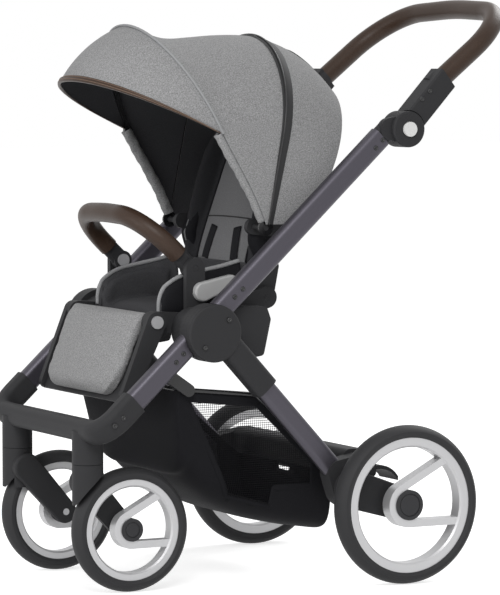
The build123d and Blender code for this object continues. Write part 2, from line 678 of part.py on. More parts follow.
def handle_arm():
    inner = rod_y(HANDLE_HINGE, HANDLE_DISC_R, HANDLE_INNER_Y, HANDLE_SPLIT_Y)
    neck = hull((HANDLE_HINGE, HANDLE_NECK_R), (COLLAR, HANDLE_NECK_R))
    neck = slab(neck, HANDLE_INNER_Y, HANDLE_FACE_Y - COVER_ROUND)
    neck = fillet(neck.edges().group_by(Axis.Y)[-1], COVER_ROUND)
    neck -= rod_y(HANDLE_HINGE, HANDLE_ROOM_R, HANDLE_SPLIT_Y, HANDLE_FACE_Y)
    angle = radians(GRIP_ANGLE)
    seat = Plane(
        origin=grip_point(-COLLAR_LENGTH, GRIP_Y), x_dir=(0, 1, 0), z_dir=(-cos(angle), 0, sin(angle))
    )
    collar = extrude(seat * Circle(COLLAR_R), amount=COLLAR_LENGTH - FIT / 3)
    grip_end = seat.offset(COLLAR_LENGTH - FIT / 3)
    neck -= extrude(grip_end * Rectangle(2 * EXTRA, 2 * EXTRA), amount=EXTRA)
    pin = rod_y(HANDLE_HINGE, HANDLE_PIN_R, HANDLE_SPLIT_Y, HANDLE_POCKET_Y - FIT)
    return inner + neck + collar + pin


def arch_path(place, y, arm, bend, bow):
    """Path of a bent bar: two straight arms, round corners and a gently bowed middle."""
    slope = atan(bow / y)
    middle_r = 0.4 * (y - bend) / tan(slope)
    points = [
        place(0, y),
        place(arm + bend, y),
        place(arm + bend + bow, 0),
        place(arm + bend, -y),
        place(0, -y),
    ]
    return FilletPolyline(*points, radius=[bend, middle_r, bend])


def bent_bar(path, radius):
    plane = Plane(origin=path @ 0, z_dir=path % 0)
    return sweep(plane * Circle(radius), path=path)


grip_path = arch_path(grip_point, GRIP_Y, GRIP_ARM, GRIP_BEND, GRIP_BOW)
keep_both("handle_bases", handle_base())
keep_both("handle_arms", handle_arm())
keep("handle_grip", bent_bar(grip_path, GRIP_R))
keep_pair(
    "handle_button",
    rod_y(
        HANDLE_HINGE,
        HANDLE_BUTTON_R,
        HANDLE_POCKET_Y + HANDLE_BUTTON_TRAVEL + FIT,
        HANDLE_FACE_Y + HANDLE_BUTTON_PROUD,
    ),
)

# Seat frame: side plates, seat pan, chassis mounts and release levers
SEAT_SIDE_OUT = SEAT_SIDE_IN + SEAT_SIDE_T


def seat_frame():
    front = hull((LEG_PIVOT, LEG_BOSS_R), ((BUMPER_PIVOT[0], SEAT_RAIL_Z), LEG_BOSS_R))
    rear = hull((BACK_PIVOT, BACK_BOSS_R), ((BUMPER_PIVOT[0], SEAT_RAIL_Z), LEG_BOSS_R))
    post = hull((BUMPER_PIVOT, BUMPER_BRACKET_R), ((BUMPER_PIVOT[0], SEAT_RAIL_Z), LEG_BOSS_R))
    side = slab(front + rear + post, SEAT_SIDE_IN, SEAT_SIDE_OUT)
    for point in (LEG_PIVOT, BACK_PIVOT, BUMPER_PIVOT):
        side -= rod_y(point, PIVOT_PIN_R + FIT, SEAT_SIDE_IN, SEAT_SIDE_OUT)
    pan_low = SEAT_RAIL_Z - SEAT_PAN_T
    pan = outline(
        (SEAT_PAN[0], pan_low + 2 * SEAT_PAN_T),
        (SEAT_PAN[0], pan_low + 3 * SEAT_PAN_T),
        (SEAT_PAN[1], SEAT_RAIL_Z),
        (SEAT_PAN[1], pan_low),
    )
    return side + other_side(side) + slab(pan, -SEAT_SIDE_IN, SEAT_SIDE_IN)


def seat_mount():
    block = outline(*[(HUB_X + x, HUB_Z + z) for x, z in MOUNT_CORNERS])
    block = fillet(block.vertices(), MOUNT_ROUND)
    mount = slab(block, SEAT_SIDE_OUT, MOUNT_OUT)
    boss = rod_y(HUB, MOUNT_BOSS_R, SEAT_SIDE_OUT, HUB_PLATE_IN)
    return mount + boss - rod_y(HUB, HUB_HEAD_R + FIT, HUB_PLATE_IN - COVER_ROUND - FIT, HUB_PLATE_IN)


def seat_lever():
    tip = (LEVER_PIVOT[0] - LEVER_LENGTH, LEVER_PIVOT[1] + LEVER_H / 2)
    blade = hull((LEVER_PIVOT, LEVER_H / 2), (tip, LEVER_H / 3))
    lever = slab(blade, SEAT_SIDE_OUT + FIT, SEAT_SIDE_OUT + FIT + LEVER_T)
    return fillet(lever.edges().group_by(Axis.Y)[-1], COVER_ROUND)


keep("seat_frame", seat_frame())
keep_both("seat_mounts", seat_mount())
keep_pair("seat_lever", seat_lever())


# Leg rest: side arms on the seat's front pivots, a bent plate and the padded cover
def leg_rest_point(along, square=0.0):
    return turned(LEG_PIVOT, -LEG_REST_ANGLE, along, square)


LEG_ARM_IN = SEAT_SIDE_OUT + FIT
LEG_ARM_OUT = LEG_ARM_IN + LEG_ARM_T


def leg_rest_frame():
    foot = leg_rest_point(LEG_REST_LENGTH - LEG_ARM_W / 2)
    arm = slab(hull((LEG_PIVOT, LEG_BOSS_R), (foot, LEG_ARM_W / 2)), LEG_ARM_IN, LEG_ARM_OUT)
    pin = rod_y(LEG_PIVOT, PIVOT_PIN_R, SEAT_SIDE_IN, LEG_ARM_IN)
    depth = LEG_BUTTON_TRAVEL + BUTTON_HELD
    arm = arm + pin - rod_y(LEG_PIVOT, LEG_BUTTON_R + FIT, LEG_ARM_OUT - depth, LEG_ARM_OUT)
    plate = outline(
        leg_rest_point(LEG_PLATE_START, -LEG_PLATE_T / 2),
        leg_rest_point(LEG_REST_LENGTH, -LEG_PLATE_T / 2),
        leg_rest_point(LEG_REST_LENGTH, LEG_PLATE_T / 2),
        leg_rest_point(LEG_PLATE_START, LEG_PLATE_T / 2),
    )
    return arm + other_side(arm) + slab(plate, -LEG_ARM_OUT, LEG_ARM_OUT)


def pad(plane, length, width, thick, crown, stations):
    """Crowned pad on a plane: X along its length, Y across.

    Each station gives its place along the pad, its drawn-in width, its swell and its side height.
    """
    sections = []
    for at, drawn_in, swell, side in stations:
        half = width / 2 - drawn_in
        edge = thick * (1 + swell) / 2
        rim = max(side, edge + PAD_SEAM)
        lip = half - PAD_RIM
        foot = lip - PAD_RIM
        face = make_face(
            [
                Line((-half, 0), (half, 0)),
                Line((half, 0), (half, rim)),
                Line((half, rim), (lip, rim)),
                Line((lip, rim), (foot, edge)),
                ThreePointArc((foot, edge), (0, edge + crown * swell), (-foot, edge)),
                Line((-foot, edge), (-lip, rim)),
                Line((-lip, rim), (-half, rim)),
                Line((-half, rim), (-half, 0)),
            ]
        )
        across = Plane(
            origin=plane.origin + plane.x_dir * (length * at), x_dir=plane.y_dir, z_dir=plane.x_dir
        )
        sections.append(across * face)
    return loft(sections)


def side_plane(point, angle, up_angle):
    """Plane whose X runs along a side-view direction and whose Z points to its upper side."""
    a = radians(angle)
    b = radians(up_angle)
    return Plane(origin=(point[0], 0, point[1]), x_dir=(cos(a), 0, sin(a)), z_dir=(cos(b), 0, sin(b)))


leg_pad_start = leg_rest_point(LEG_PAD_START, LEG_PLATE_T / 2 + PAD_GAP)
leg_pad = pad(
    side_plane(leg_pad_start, -LEG_REST_ANGLE, 90 - LEG_REST_ANGLE),
    LEG_REST_LENGTH - LEG_PAD_START,
    2 * SEAT_SIDE_IN,
    LEG_PAD_T,
    LEG_PAD_CROWN,
    LEG_PAD_STATIONS,
)
keep("leg_rest_frame", leg_rest_frame())
keep("leg_rest_pad", leg_pad)
keep_pair(
    "leg_rest_button",
    rod_y(LEG_PIVOT, LEG_BUTTON_R, LEG_ARM_OUT - BUTTON_HELD + FIT, LEG_ARM_OUT + LEG_BUTTON_TRAVEL),
)


# Bumper bar: padded bow between two end knuckles with push buttons inside
BUMPER_END_OUT = SEAT_SIDE_IN - FIT
BUMPER_END_IN = BUMPER_END_OUT - BUMPER_END_T
BUMPER_Y = (BUMPER_END_OUT + BUMPER_END_IN) / 2


def bumper_point(along, y):
    x, z = turned(BUMPER_PIVOT, BUMPER_ANGLE, along)
    return (x, y, z)


def bumper_end():
    knuckle = rod_y(BUMPER_PIVOT, BUMPER_R, BUMPER_END_IN, BUMPER_END_OUT)
    angle = radians(BUMPER_ANGLE)
    stem = Plane(
        origin=bumper_point(0, BUMPER_Y), x_dir=(0, 1, 0), z_dir=(cos(angle), 0, sin(angle))
    )
    section = RectangleRounded(BUMPER_END_T, 1.8 * BUMPER_R, 0.45 * BUMPER_END_T)
    knuckle += extrude(stem * section, BUMPER_END_LENGTH - FIT / 3)
    depth = BUMPER_BUTTON_TRAVEL + BUTTON_HELD
    pocket = rod_y(BUMPER_PIVOT, BUMPER_BUTTON_R + FIT, BUMPER_END_IN, BUMPER_END_IN + depth)
    pin = rod_y(BUMPER_PIVOT, PIVOT_PIN_R, BUMPER_END_OUT, SEAT_SIDE_OUT)
    return knuckle - pocket + pin


def bumper_bar():
    def place(along, y):
        return bumper_point(along + BUMPER_END_LENGTH, y)

    path = arch_path(place, BUMPER_Y, BUMPER_ARM - BUMPER_END_LENGTH, BUMPER_BEND, BUMPER_BOW)
    return bent_bar(path, BUMPER_R)


keep("bumper_bar", bumper_bar())
keep_both("bumper_ends", bumper_end())
keep_pair(
    "bumper_button",
    rod_y(
        BUMPER_PIVOT,
        BUMPER_BUTTON_R,
        BUMPER_END_IN - BUMPER_BUTTON_TRAVEL,
        BUMPER_END_IN + BUTTON_HELD - FIT,
    ),
)


# Backrest, seat pad and back pad
BACK_DIR = 90.0 + BACK_ANGLE


def back_point(along, square=0.0):
    """Point up the backrest; a positive square distance is towards the child."""
    return turned(BACK_PIVOT, BACK_DIR, along, -square)


def backrest_frame():
    angle = radians(BACK_DIR)
    root = back_point(BACK_START)
    plane = Plane(
        origin=(root[0], 0, root[1]), x_dir=(cos(angle), 0, sin(angle)), z_dir=(-sin(angle), 0, cos(angle))
    )
    panel = Pos(BACK_LENGTH / 2, 0) * Rectangle(BACK_LENGTH, 2 * BACK_SIDE)
    panel = fillet(panel.vertices().group_by(Axis.X)[-1], BACK_TOP_R)
    shell = extrude(plane * panel, amount=BACK_PANEL_T / 2, both=True)
    lug = slab(
        hull((BACK_PIVOT, BACK_BOSS_R), (back_point(BACK_BOSS_R * 3.0), BACK_PANEL_T)),
        SEAT_SIDE_IN - FIT - SEAT_SIDE_T,
        SEAT_SIDE_IN - FIT,
    )
    pin = rod_y(BACK_PIVOT, PIVOT_PIN_R, SEAT_SIDE_IN - FIT, SEAT_SIDE_OUT)
    clip_foot = back_point(hypot(CANOPY_PIVOT[0] - BACK_PIVOT[0], CANOPY_PIVOT[1] - BACK_PIVOT[1]))
    clip = slab(hull((CANOPY_PIVOT, CLIP_R), (clip_foot, CLIP_R)), BACK_SIDE - SEAT_SIDE_T, BACK_SIDE)
    stud = rod_y(CANOPY_PIVOT, PIVOT_PIN_R, BACK_SIDE, CANOPY_SIDE - CANOPY_WALL - FIT)
    fittings = lug + pin + clip + stud
    return shell + fittings + other_side(fittings)


back_pad = pad(
    side_plane(back_point(BACK_START, BACK_PANEL_T / 2 + PAD_GAP), BACK_DIR, BACK_ANGLE),
    BACK_LENGTH - BACK_PAD_SHORT,
    2 * (SEAT_SIDE_IN - SEAT_SIDE_T - PAD_SIDE_GAP),
    BACK_PAD_T,
    BACK_PAD_CROWN,
    BACK_PAD_STATIONS,
)
pan_length = SEAT_PAN[1] - SEAT_PAN[0]
seat_slope = degrees(atan2(-2 * SEAT_PAN_T, pan_length))
seat_pad_z = SEAT_RAIL_Z + 2 * SEAT_PAN_T * (1 - SEAT_PAD_START / pan_length) + PAD_GAP
seat_pad = pad(
    side_plane((SEAT_PAN[0] + SEAT_PAD_START, seat_pad_z), seat_slope, 90 + seat_slope),
    pan_length - SEAT_PAD_START - SEAT_PAD_END,
    2 * (BUMPER_END_IN - BUMPER_BUTTON_TRAVEL - PAD_SIDE_GAP),
    SEAT_PAD_T,
    SEAT_PAD_CROWN,
    SEAT_PAD_STATIONS,
)
keep("backrest_frame", backrest_frame())
keep("back_cushion", back_pad)
keep("seat_cushion", seat_pad)


# Canopy: cloth stretched over hoops that fan out from one pivot on each side
def hoop(pivot, angle, start, side, knee, radius):
    """Face inside one hoop, in the plane at an angle above forward through the pivots.

    Its sides run straight from start to knee, and its top is half an ellipse.
    """
    a = radians(angle)
    plane = Plane(origin=(pivot[0], 0, pivot[1]), x_dir=(0, 1, 0), z_dir=(sin(a), 0, -cos(a)))
    face = make_face(
        [
            Line((-side, start), (side, start)),
            Line((side, start), (side, knee)),
            EllipticalCenterArc((0, knee), side, radius - knee, 0, arc_size=180),
            Line((-side, knee), (-side, start)),
        ]
    )
    return plane * face


def fan(hoops, start, side, back_wall=0.0):
    """Thin cloth over hoops given as (pivot, angle, knee, radius), open below and in front.

    A back wall closes the first hoop with cloth of that thickness.
    """
    outer = loft([hoop(pivot, a, start, side, knee, r) for pivot, a, knee, r in hoops])
    inside = []
    for pivot, a, knee, r in hoops:
        if not inside:
            pivot = turned(pivot, a, 0, -back_wall)
        inside.append(hoop(pivot, a, start / 2, side - CANOPY_WALL, knee, r - CANOPY_WALL))
    return outer - loft(inside)


VISOR_HINGE = turned(CANOPY_PIVOT, CANOPY_BOW_A, VISOR_HINGE_R)


def front_bow():
    """Flat hoop under the front edge of the cloth, with an eye on each pivot and studs for the visor."""
    edges = [CANOPY_BOW_A, CANOPY_BOW_A + degrees(BOW_WIDTH / CANOPY_BOW_R)]
    side = CANOPY_SIDE - CANOPY_WALL - BOW_GAP
    radius = CANOPY_BOW_R - CANOPY_WALL - BOW_UNDER
    outer = loft([hoop(CANOPY_PIVOT, a, CLIP_R / 2, side, VISOR_HINGE_R, radius) for a in edges])
    inside = (side - BOW_THICK, VISOR_HINGE_R, radius - BOW_THICK)
    inner = loft([hoop(CANOPY_PIVOT, a, CLIP_R / 4, *inside) for a in edges])
    eye = rod_y(CANOPY_PIVOT, CLIP_R, side - BOW_THICK, side)
    stud = rod_y(VISOR_HINGE, BOW_WIDTH / 2, side - 2 * BOW_THICK, side)
    fittings = eye + stud
    bow = outer - inner + fittings + other_side(fittings)
    return bow - rod_y(CANOPY_PIVOT, PIVOT_PIN_R + FIT, -2 * CANOPY_SIDE, 2 * CANOPY_SIDE)


def between(a, b, share):
    return a + (b - a) * share


zip_knee = CANOPY_ZIP_R - CANOPY_CROWN
rear_knee = CANOPY_REAR_R - CANOPY_CROWN
middle_foot = [between(c, r, 0.5) for c, r in zip(CANOPY_PIVOT, CANOPY_REAR_FOOT)]
middle_r = between(CANOPY_ZIP_R, CANOPY_REAR_R, 0.5) + CANOPY_BULGE
rear_hoops = [
    (CANOPY_REAR_FOOT, CANOPY_REAR_A, rear_knee, CANOPY_REAR_R),
    (middle_foot, between(CANOPY_ZIP_A, CANOPY_REAR_A, 0.5), middle_r - CANOPY_CROWN, middle_r),
    (CANOPY_PIVOT, CANOPY_ZIP_A + ZIP_GAP, zip_knee, CANOPY_ZIP_R),
]
front_hoops = [
    (
        CANOPY_PIVOT,
        between(CANOPY_ZIP_A, CANOPY_BOW_A, share),
        between(zip_knee, VISOR_HINGE_R, share),
        between(CANOPY_ZIP_R, CANOPY_BOW_R, share**3) - CANOPY_SAG * sin(pi * share),
    )
    for share in (0.0, 1 / 3, 2 / 3, 1.0)
]
brow_r = CANOPY_BOW_R - VISOR_HINGE_R
brim_r = between(brow_r, VISOR_R, 0.5) + VISOR_SWELL
visor_knee = 1.5 * VISOR_START_R
visor_hoops = [
    (VISOR_HINGE, CANOPY_BOW_A - ZIP_GAP, visor_knee, brow_r),
    (VISOR_HINGE, between(CANOPY_BOW_A, VISOR_A, 0.5), visor_knee, brim_r),
    (VISOR_HINGE, VISOR_A, visor_knee, VISOR_R),
]
keep("canopy_rear", fan(rear_hoops, CANOPY_CLEAR_R, CANOPY_SIDE, CANOPY_WALL))
keep("canopy_front", fan(front_hoops, CANOPY_CLEAR_R, CANOPY_SIDE))
keep("canopy_visor", fan(visor_hoops, VISOR_START_R, CANOPY_SIDE - VISOR_INSET))
keep("canopy_front_bow", front_bow())


# Basket under the seat and the rod that holds its rim
def basket_layer(z, rear, front, half, inset):
    corner = BASKET_CORNER - inset
    shape = RectangleRounded(front - rear - 2 * inset, 2 * (half - inset), corner)
    return Plane.XY.offset(z) * (Pos((front + rear) / 2, 0) * shape)


def basket_body(inset):
    layers = [
        (BASKET_LOW_Z + inset, BASKET_REAR_LOW, BASKET_FRONT_LOW, BASKET_LOW_Y),
        (BASKET_MID_Z, BASKET_REAR, BASKET_FRONT_MID, (BASKET_LOW_Y + 2 * BASKET_TOP_Y) / 3),
        (BASKET_FRONT_Z, BASKET_REAR, BASKET_FRONT, BASKET_TOP_Y),
    ]
    return loft([basket_layer(*layer, inset) for layer in layers])


def basket():
    shell = basket_body(0.0) - basket_body(BASKET_WALL)
    above = outline(
        (BASKET_FRONT + EXTRA, BASKET_FRONT_Z),
        (BASKET_FRONT, BASKET_FRONT_Z),
        (BASKET_SIDE_X, BASKET_SIDE_Z),
        (BASKET_REAR, BASKET_REAR_Z),
        (BASKET_REAR - EXTRA, BASKET_REAR_Z),
        (BASKET_REAR - EXTRA, BASKET_FRONT_Z + EXTRA),
        (BASKET_FRONT + EXTRA, BASKET_FRONT_Z + EXTRA),
    )
    return shell - slab(above, -2 * BASKET_TOP_Y, 2 * BASKET_TOP_Y)


def basket_rim():
    lift = RIM_ROD_R + FIT
    y = BASKET_TOP_Y
    front = BASKET_FRONT
    path = FilletPolyline(
        (BASKET_SIDE_X, y, BASKET_SIDE_Z + lift),
        (front, y, BASKET_FRONT_Z + lift),
        (front, -y, BASKET_FRONT_Z + lift),
        (BASKET_SIDE_X, -y, BASKET_SIDE_Z + lift),
        radius=BASKET_CORNER,
    )
    plane = Plane(origin=path @ 0, z_dir=path % 0)
    rod = sweep(plane * Circle(RIM_ROD_R), path=path)
    share = (BRACKET_X - BASKET_SIDE_X) / (front - BASKET_SIDE_X)
    rod_z = BASKET_SIDE_Z + lift + share * (BASKET_FRONT_Z - BASKET_SIDE_Z)
    top = beam_point(-BRACKET_ALONG, BEAM_OFFSET)
    low = (BRACKET_X, rod_z)
    bracket = slab(hull((top, BRACKET_R), (low, BRACKET_R)), y + FIT, TUBE_IN - FIT)
    return rod + bracket + other_side(bracket)


keep("basket", basket())
keep("basket_rim", basket_rim())

os.makedirs("parts", exist_ok=True)
for name, shape in pieces.items():
    export_step(Pos(-ORIGIN_X, 0, 0) * shape, os.path.join("parts", name + ".step"))
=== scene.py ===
import json
from math import cos, pi, radians, sin, sqrt

import bmesh
import bpy
import numpy as np
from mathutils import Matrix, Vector


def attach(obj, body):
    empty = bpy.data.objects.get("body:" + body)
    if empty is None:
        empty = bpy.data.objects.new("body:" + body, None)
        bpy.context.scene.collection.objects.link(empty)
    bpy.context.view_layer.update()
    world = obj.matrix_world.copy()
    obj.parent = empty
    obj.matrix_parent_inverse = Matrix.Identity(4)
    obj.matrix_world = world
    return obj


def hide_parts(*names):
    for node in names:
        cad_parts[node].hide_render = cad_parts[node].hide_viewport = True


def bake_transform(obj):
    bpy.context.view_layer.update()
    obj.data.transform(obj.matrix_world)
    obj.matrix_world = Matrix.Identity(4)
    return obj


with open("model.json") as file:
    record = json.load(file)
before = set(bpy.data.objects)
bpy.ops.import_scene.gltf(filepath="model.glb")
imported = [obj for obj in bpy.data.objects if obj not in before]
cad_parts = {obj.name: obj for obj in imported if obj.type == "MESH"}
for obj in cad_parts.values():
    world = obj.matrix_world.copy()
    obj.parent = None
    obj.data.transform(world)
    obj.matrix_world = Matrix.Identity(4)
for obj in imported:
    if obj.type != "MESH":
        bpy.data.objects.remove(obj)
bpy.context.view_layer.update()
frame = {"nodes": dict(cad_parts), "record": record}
nodes = frame["nodes"]

# Places are given in metres from the rear axle, as in the solids, and moved to the part's frame here
ORIGIN_X = 0.1471
ACROSS = (0, 1, 0)


def at(x, y, z):
    return Vector((x - ORIGIN_X, y, z))


def polar(pivot, angle, radius):
    """Point (x, z) at a distance from a pivot, at an angle in degrees above forward."""
    a = radians(angle)
    return (pivot[0] + radius * cos(a), pivot[1] + radius * sin(a))


def lerp(a, b, t):
    return a + (b - a) * t


def even(first, last, steps):
    """Evenly spaced values from the first to the last, with both."""
    return [lerp(first, last, i / steps) for i in range(steps + 1)]


# Materials
MOTTLE_DARK = 0.3  # level of the noise that gets the darkest thread
MOTTLE_LIGHT = 0.7  # level of the noise that gets the lightest thread
THREAD_DETAIL = 4.0
THREAD_ROUGHNESS = 0.7
WEAVE_DEPTH = 0.0006


def fabric_nodes(tree, shader, colour, mottle, grain, bump):
    """Fine thread mottle in the colour and a woven bump, both in the piece's own space."""
    links = tree.links
    place = tree.nodes.new("ShaderNodeTexCoord")
    noise = tree.nodes.new("ShaderNodeTexNoise")
    noise.inputs["Scale"].default_value = grain
    noise.inputs["Detail"].default_value = THREAD_DETAIL
    noise.inputs["Roughness"].default_value = THREAD_ROUGHNESS
    links.new(place.outputs["Object"], noise.inputs["Vector"])
    ramp = tree.nodes.new("ShaderNodeValToRGB")
    dark, light = ramp.color_ramp.elements
    dark.position = MOTTLE_DARK
    dark.color = [c * (1 - mottle) for c in colour] + [1]
    light.position = MOTTLE_LIGHT
    light.color = [c * (1 + mottle) for c in colour] + [1]
    links.new(noise.outputs["Fac"], ramp.inputs["Fac"])
    links.new(ramp.outputs["Color"], shader.inputs["Base Color"])
    if bump:
        weave = tree.nodes.new("ShaderNodeBump")
        weave.inputs["Strength"].default_value = bump
        weave.inputs["Distance"].default_value = WEAVE_DEPTH
        links.new(noise.outputs["Fac"], weave.inputs["Height"])
        links.new(weave.outputs["Normal"], shader.inputs["Normal"])


def material(name, colour, rough, metal=0.0, mottle=0.0, grain=600.0, bump=0.0, sheen=0.0, specular=0.5):
    made = bpy.data.materials.new(name)
    made.use_nodes = True
    shader = made.node_tree.nodes["Principled BSDF"]
    shader.inputs["Base Color"].default_value = list(colour) + [1]
    shader.inputs["Roughness"].default_value = rough
    shader.inputs["Metallic"].default_value = metal
    shader.inputs["Sheen Weight"].default_value = sheen
    shader.inputs["Specular IOR Level"].default_value = specular
    if mottle or bump:
        fabric_nodes(made.node_tree, shader, colour, mottle, grain, bump)
    return made


# Each finish: colour, roughness and what differs from a plain surface
FINISHES = {
    "tube": ((0.085, 0.08, 0.096), 0.42, dict(metal=0.7, specular=0.3)),
    "dark_plastic": ((0.032, 0.032, 0.034), 0.62, dict(mottle=0.1, grain=2500, bump=0.06, specular=0.18)),
    "tyre": ((0.038, 0.038, 0.04), 0.6, dict(specular=0.2)),
    "silver_rim": ((0.58, 0.58, 0.59), 0.4, dict(metal=0.5)),
    "hub_cap": ((0.042, 0.042, 0.045), 0.55, dict(specular=0.2)),
    "steel": ((0.4, 0.4, 0.41), 0.35, dict(metal=1.0)),
    "grey_fabric": ((0.3, 0.3, 0.303), 0.95, dict(mottle=0.5, grain=520, bump=0.4, sheen=0.1, specular=0.1)),
    "dark_fabric": ((0.034, 0.034, 0.037), 0.92, dict(mottle=0.25, grain=900, bump=0.3, specular=0.1)),
    "black_fabric": ((0.012, 0.012, 0.014), 0.75, dict(mottle=0.3, grain=900, bump=0.3, specular=0.1)),
    "black_steel": ((0.012, 0.012, 0.013), 0.25, {}),
    "brown_leather": ((0.046, 0.027, 0.018), 0.42, dict(mottle=0.2, grain=420, bump=0.2, specular=0.25)),
    "white_button": ((0.8, 0.8, 0.79), 0.35, {}),
    "grey_button": ((0.4, 0.4, 0.41), 0.4, {}),
    "pale_lever": ((0.42, 0.42, 0.42), 0.4, {}),
    "seat_lining": ((0.062, 0.062, 0.066), 0.95, dict(mottle=0.3, grain=700, bump=0.35, specular=0.1)),
    "lining": ((0.07, 0.07, 0.075), 0.95, dict(mottle=0.25, grain=900, bump=0.3, specular=0.1)),
    "piping_grey": ((0.33, 0.333, 0.34), 0.9, dict(mottle=0.2, grain=900, bump=0.2, specular=0.1)),
    "back_grey": ((0.2, 0.2, 0.206), 0.95, dict(mottle=0.25, grain=750, bump=0.35, specular=0.1)),
    "screw_black": ((0.015, 0.015, 0.016), 0.35, {}),
    # near-black for the back seam: painted shade of the seam's crease
    "seam_shade": ((0.014, 0.014, 0.015), 0.8, {}),
    "thread_brown": ((0.2, 0.13, 0.09), 0.8, {}),
    "zip_black": ((0.012, 0.012, 0.013), 0.7, {}),
}
LOOKS = {name: material(name, colour, rough, **more) for name, (colour, rough, more) in FINISHES.items()}
grey_fabric = LOOKS["grey_fabric"]
dark_fabric = LOOKS["dark_fabric"]
black_fabric = LOOKS["black_fabric"]
seat_lining = LOOKS["seat_lining"]
lined_cloth = [grey_fabric, LOOKS["lining"]]
piping_grey = LOOKS["piping_grey"]
back_grey = LOOKS["back_grey"]
screw_black = LOOKS["screw_black"]

for row in frame["record"]["subparts"]:
    node = nodes[row["node"]]
    node.data.materials.clear()
    node.data.materials.append(LOOKS[row["material_slot"]])

# Pieces
PARALLEL = 1e-6  # a side vector shorter than this has no direction
THIN_SIDES = 6


def piece(name, points, faces, look, body=None):
    """Smooth mesh object in the part's frame. look is one material or several."""
    looks = look if isinstance(look, (list, tuple)) else [look]
    mesh = bpy.data.meshes.new(name)
    mesh.from_pydata([tuple(p) for p in points], [], faces)
    for one in looks:
        mesh.materials.append(one)
    mesh.polygons.foreach_set("use_smooth", [True] * len(mesh.polygons))
    mesh.update()
    made = bpy.data.objects.new(name, mesh)
    bpy.context.scene.collection.objects.link(made)
    if body:
        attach(made, body)
    return made


def grid_faces(rows, columns, close_rows=False, close_columns=False):
    faces = []
    for i in range(rows if close_rows else rows - 1):
        for j in range(columns if close_columns else columns - 1):
            k = (i + 1) % rows
            m = (j + 1) % columns
            faces.append((i * columns + j, i * columns + m, k * columns + m, k * columns + j))
    return faces


def grid_piece(name, rows, look, body=None, close_columns=False):
    points = [p for row in rows for p in row]
    return piece(name, points, grid_faces(len(rows), len(rows[0]), False, close_columns), look, body)


def apply_modifiers(obj):
    """Keeps the shape that the modifiers give."""
    bpy.context.view_layer.update()
    result = bpy.data.meshes.new_from_object(obj.evaluated_get(bpy.context.evaluated_depsgraph_get()))
    obj.modifiers.clear()
    old = obj.data
    obj.data = result
    bpy.data.meshes.remove(old)
    return obj


def thicken(obj, thick, inner=0):
    """Gives a sheet its thickness on the inner side. inner is the material's place on that side."""
    solid = obj.modifiers.new("thick", "SOLIDIFY")
    solid.thickness = thick
    solid.offset = -1
    solid.material_offset = inner
    solid.material_offset_rim = 0
    return apply_modifiers(obj)


def loop_tube(name, centres, radius, look, body=None, closed=False, sides=10, flat=1.0, up=None):
    """Round cord, or a flat strap where flat is below 1, along a run of points."""
    centres = [Vector(c) for c in centres]
    count = len(centres)
    points = []
    last_side = None
    for i, centre in enumerate(centres):
        if closed:
            run = centres[(i + 1) % count] - centres[i - 1]
        else:
            run = centres[min(i + 1, count - 1)] - centres[max(i - 1, 0)]
        run.normalize()
        guide = Vector(up) if up else (last_side.cross(run) if last_side else Vector((0, 0, 1)))
        side = run.cross(guide)
        if side.length < PARALLEL:
            side = run.cross(Vector(ACROSS))
        side.normalize()
        last_side = side
        over = side.cross(run)
        for k in range(sides):
            a = 2 * pi * k / sides
            points.append(centre + side * (radius * cos(a)) + over * (radius * flat * sin(a)))
    faces = grid_faces(count, sides, closed, True)
    if not closed:
        faces.append(tuple(range(sides))[::-1])
        faces.append(tuple(range(len(points) - sides, len(points))))
    return piece(name, points, faces, look, body)


def curve_points(points, steps):
    """Smooth run through a few points, even in its parameter."""
    pts = [Vector(p) for p in points]
    ends = [pts[0] * 2 - pts[1]] + pts + [pts[-1] * 2 - pts[-2]]
    out = []
    for i in range(len(pts) - 1):
        p0, p1, p2, p3 = ends[i : i + 4]
        bend = 2 * p0 - 5 * p1 + 4 * p2 - p3
        twist = 3 * p1 - p0 - 3 * p2 + p3
        for k in range(steps):
            t = k / steps
            out.append(0.5 * (2 * p1 + (p2 - p0) * t + bend * t * t + twist * t * t * t))
    out.append(pts[-1])
    return out


def mirror(points):
    return [Vector((p[0], -p[1], p[2])) for p in points]


def both_sides(name, points, builder):
    """Runs a builder for the left side and for the right."""
    builder("left_" + name, points)
    builder("right_" + name, mirror(points))


def side_tubes(name, points, slot, radius, look, body, **shape):
    """The same tube on the left side and on the right."""

    def one_tube(side_name, run):
        loop_tube(side_name, run, radius, look, body, **shape)

    both_sides(name, points, one_tube)


# Canopy: the cloth hangs over hoops that fan out from one pivot on each side
CANOPY_PIVOT = (0.2264, 0.6266)
CANOPY_SIDE = 0.1965
CANOPY_FOOT = 0.006  # distance from the pivot at which the cloth starts
CLOTH = 0.0016
HOOP_SIDE = 12  # points on each straight side of a hoop
HOOP_TOP = 49  # points over its round top
ZIP_ANGLE = 101.0
ZIP_KNEE = 0.159  # distance from the pivot at which the straight side of the hoop ends
ZIP_TOP = 0.341
BOW_ANGLE = 62.5
BOW_KNEE = 0.185
BOW_BEND = 10.0  # degrees that the gathered cloth leans back at the feet of the bow
BOW_BEND_R = 0.19  # distance from the pivot at which the lean ends
REAR_FOOT = (0.150, 0.6133)
REAR_START = 0.02
REAR_ANGLE = 115.5
REAR_KNEE = 0.109
REAR_TOP = 0.291
REAR_BULGE = 0.012
VISOR_HINGE = polar(CANOPY_PIVOT, BOW_ANGLE, BOW_KNEE)
VISOR_ANGLE = 24.3
VISOR_FOOT = 0.0005
VISOR_TAPER = 0.0075  # the front edge is this much narrower on each side
VISOR_KNEE = (0.001, 0.018)  # at the bow and at the front edge, as the next two
VISOR_TOP = (0.21, 0.2215)
VISOR_POWER = (2.0, 2.1)
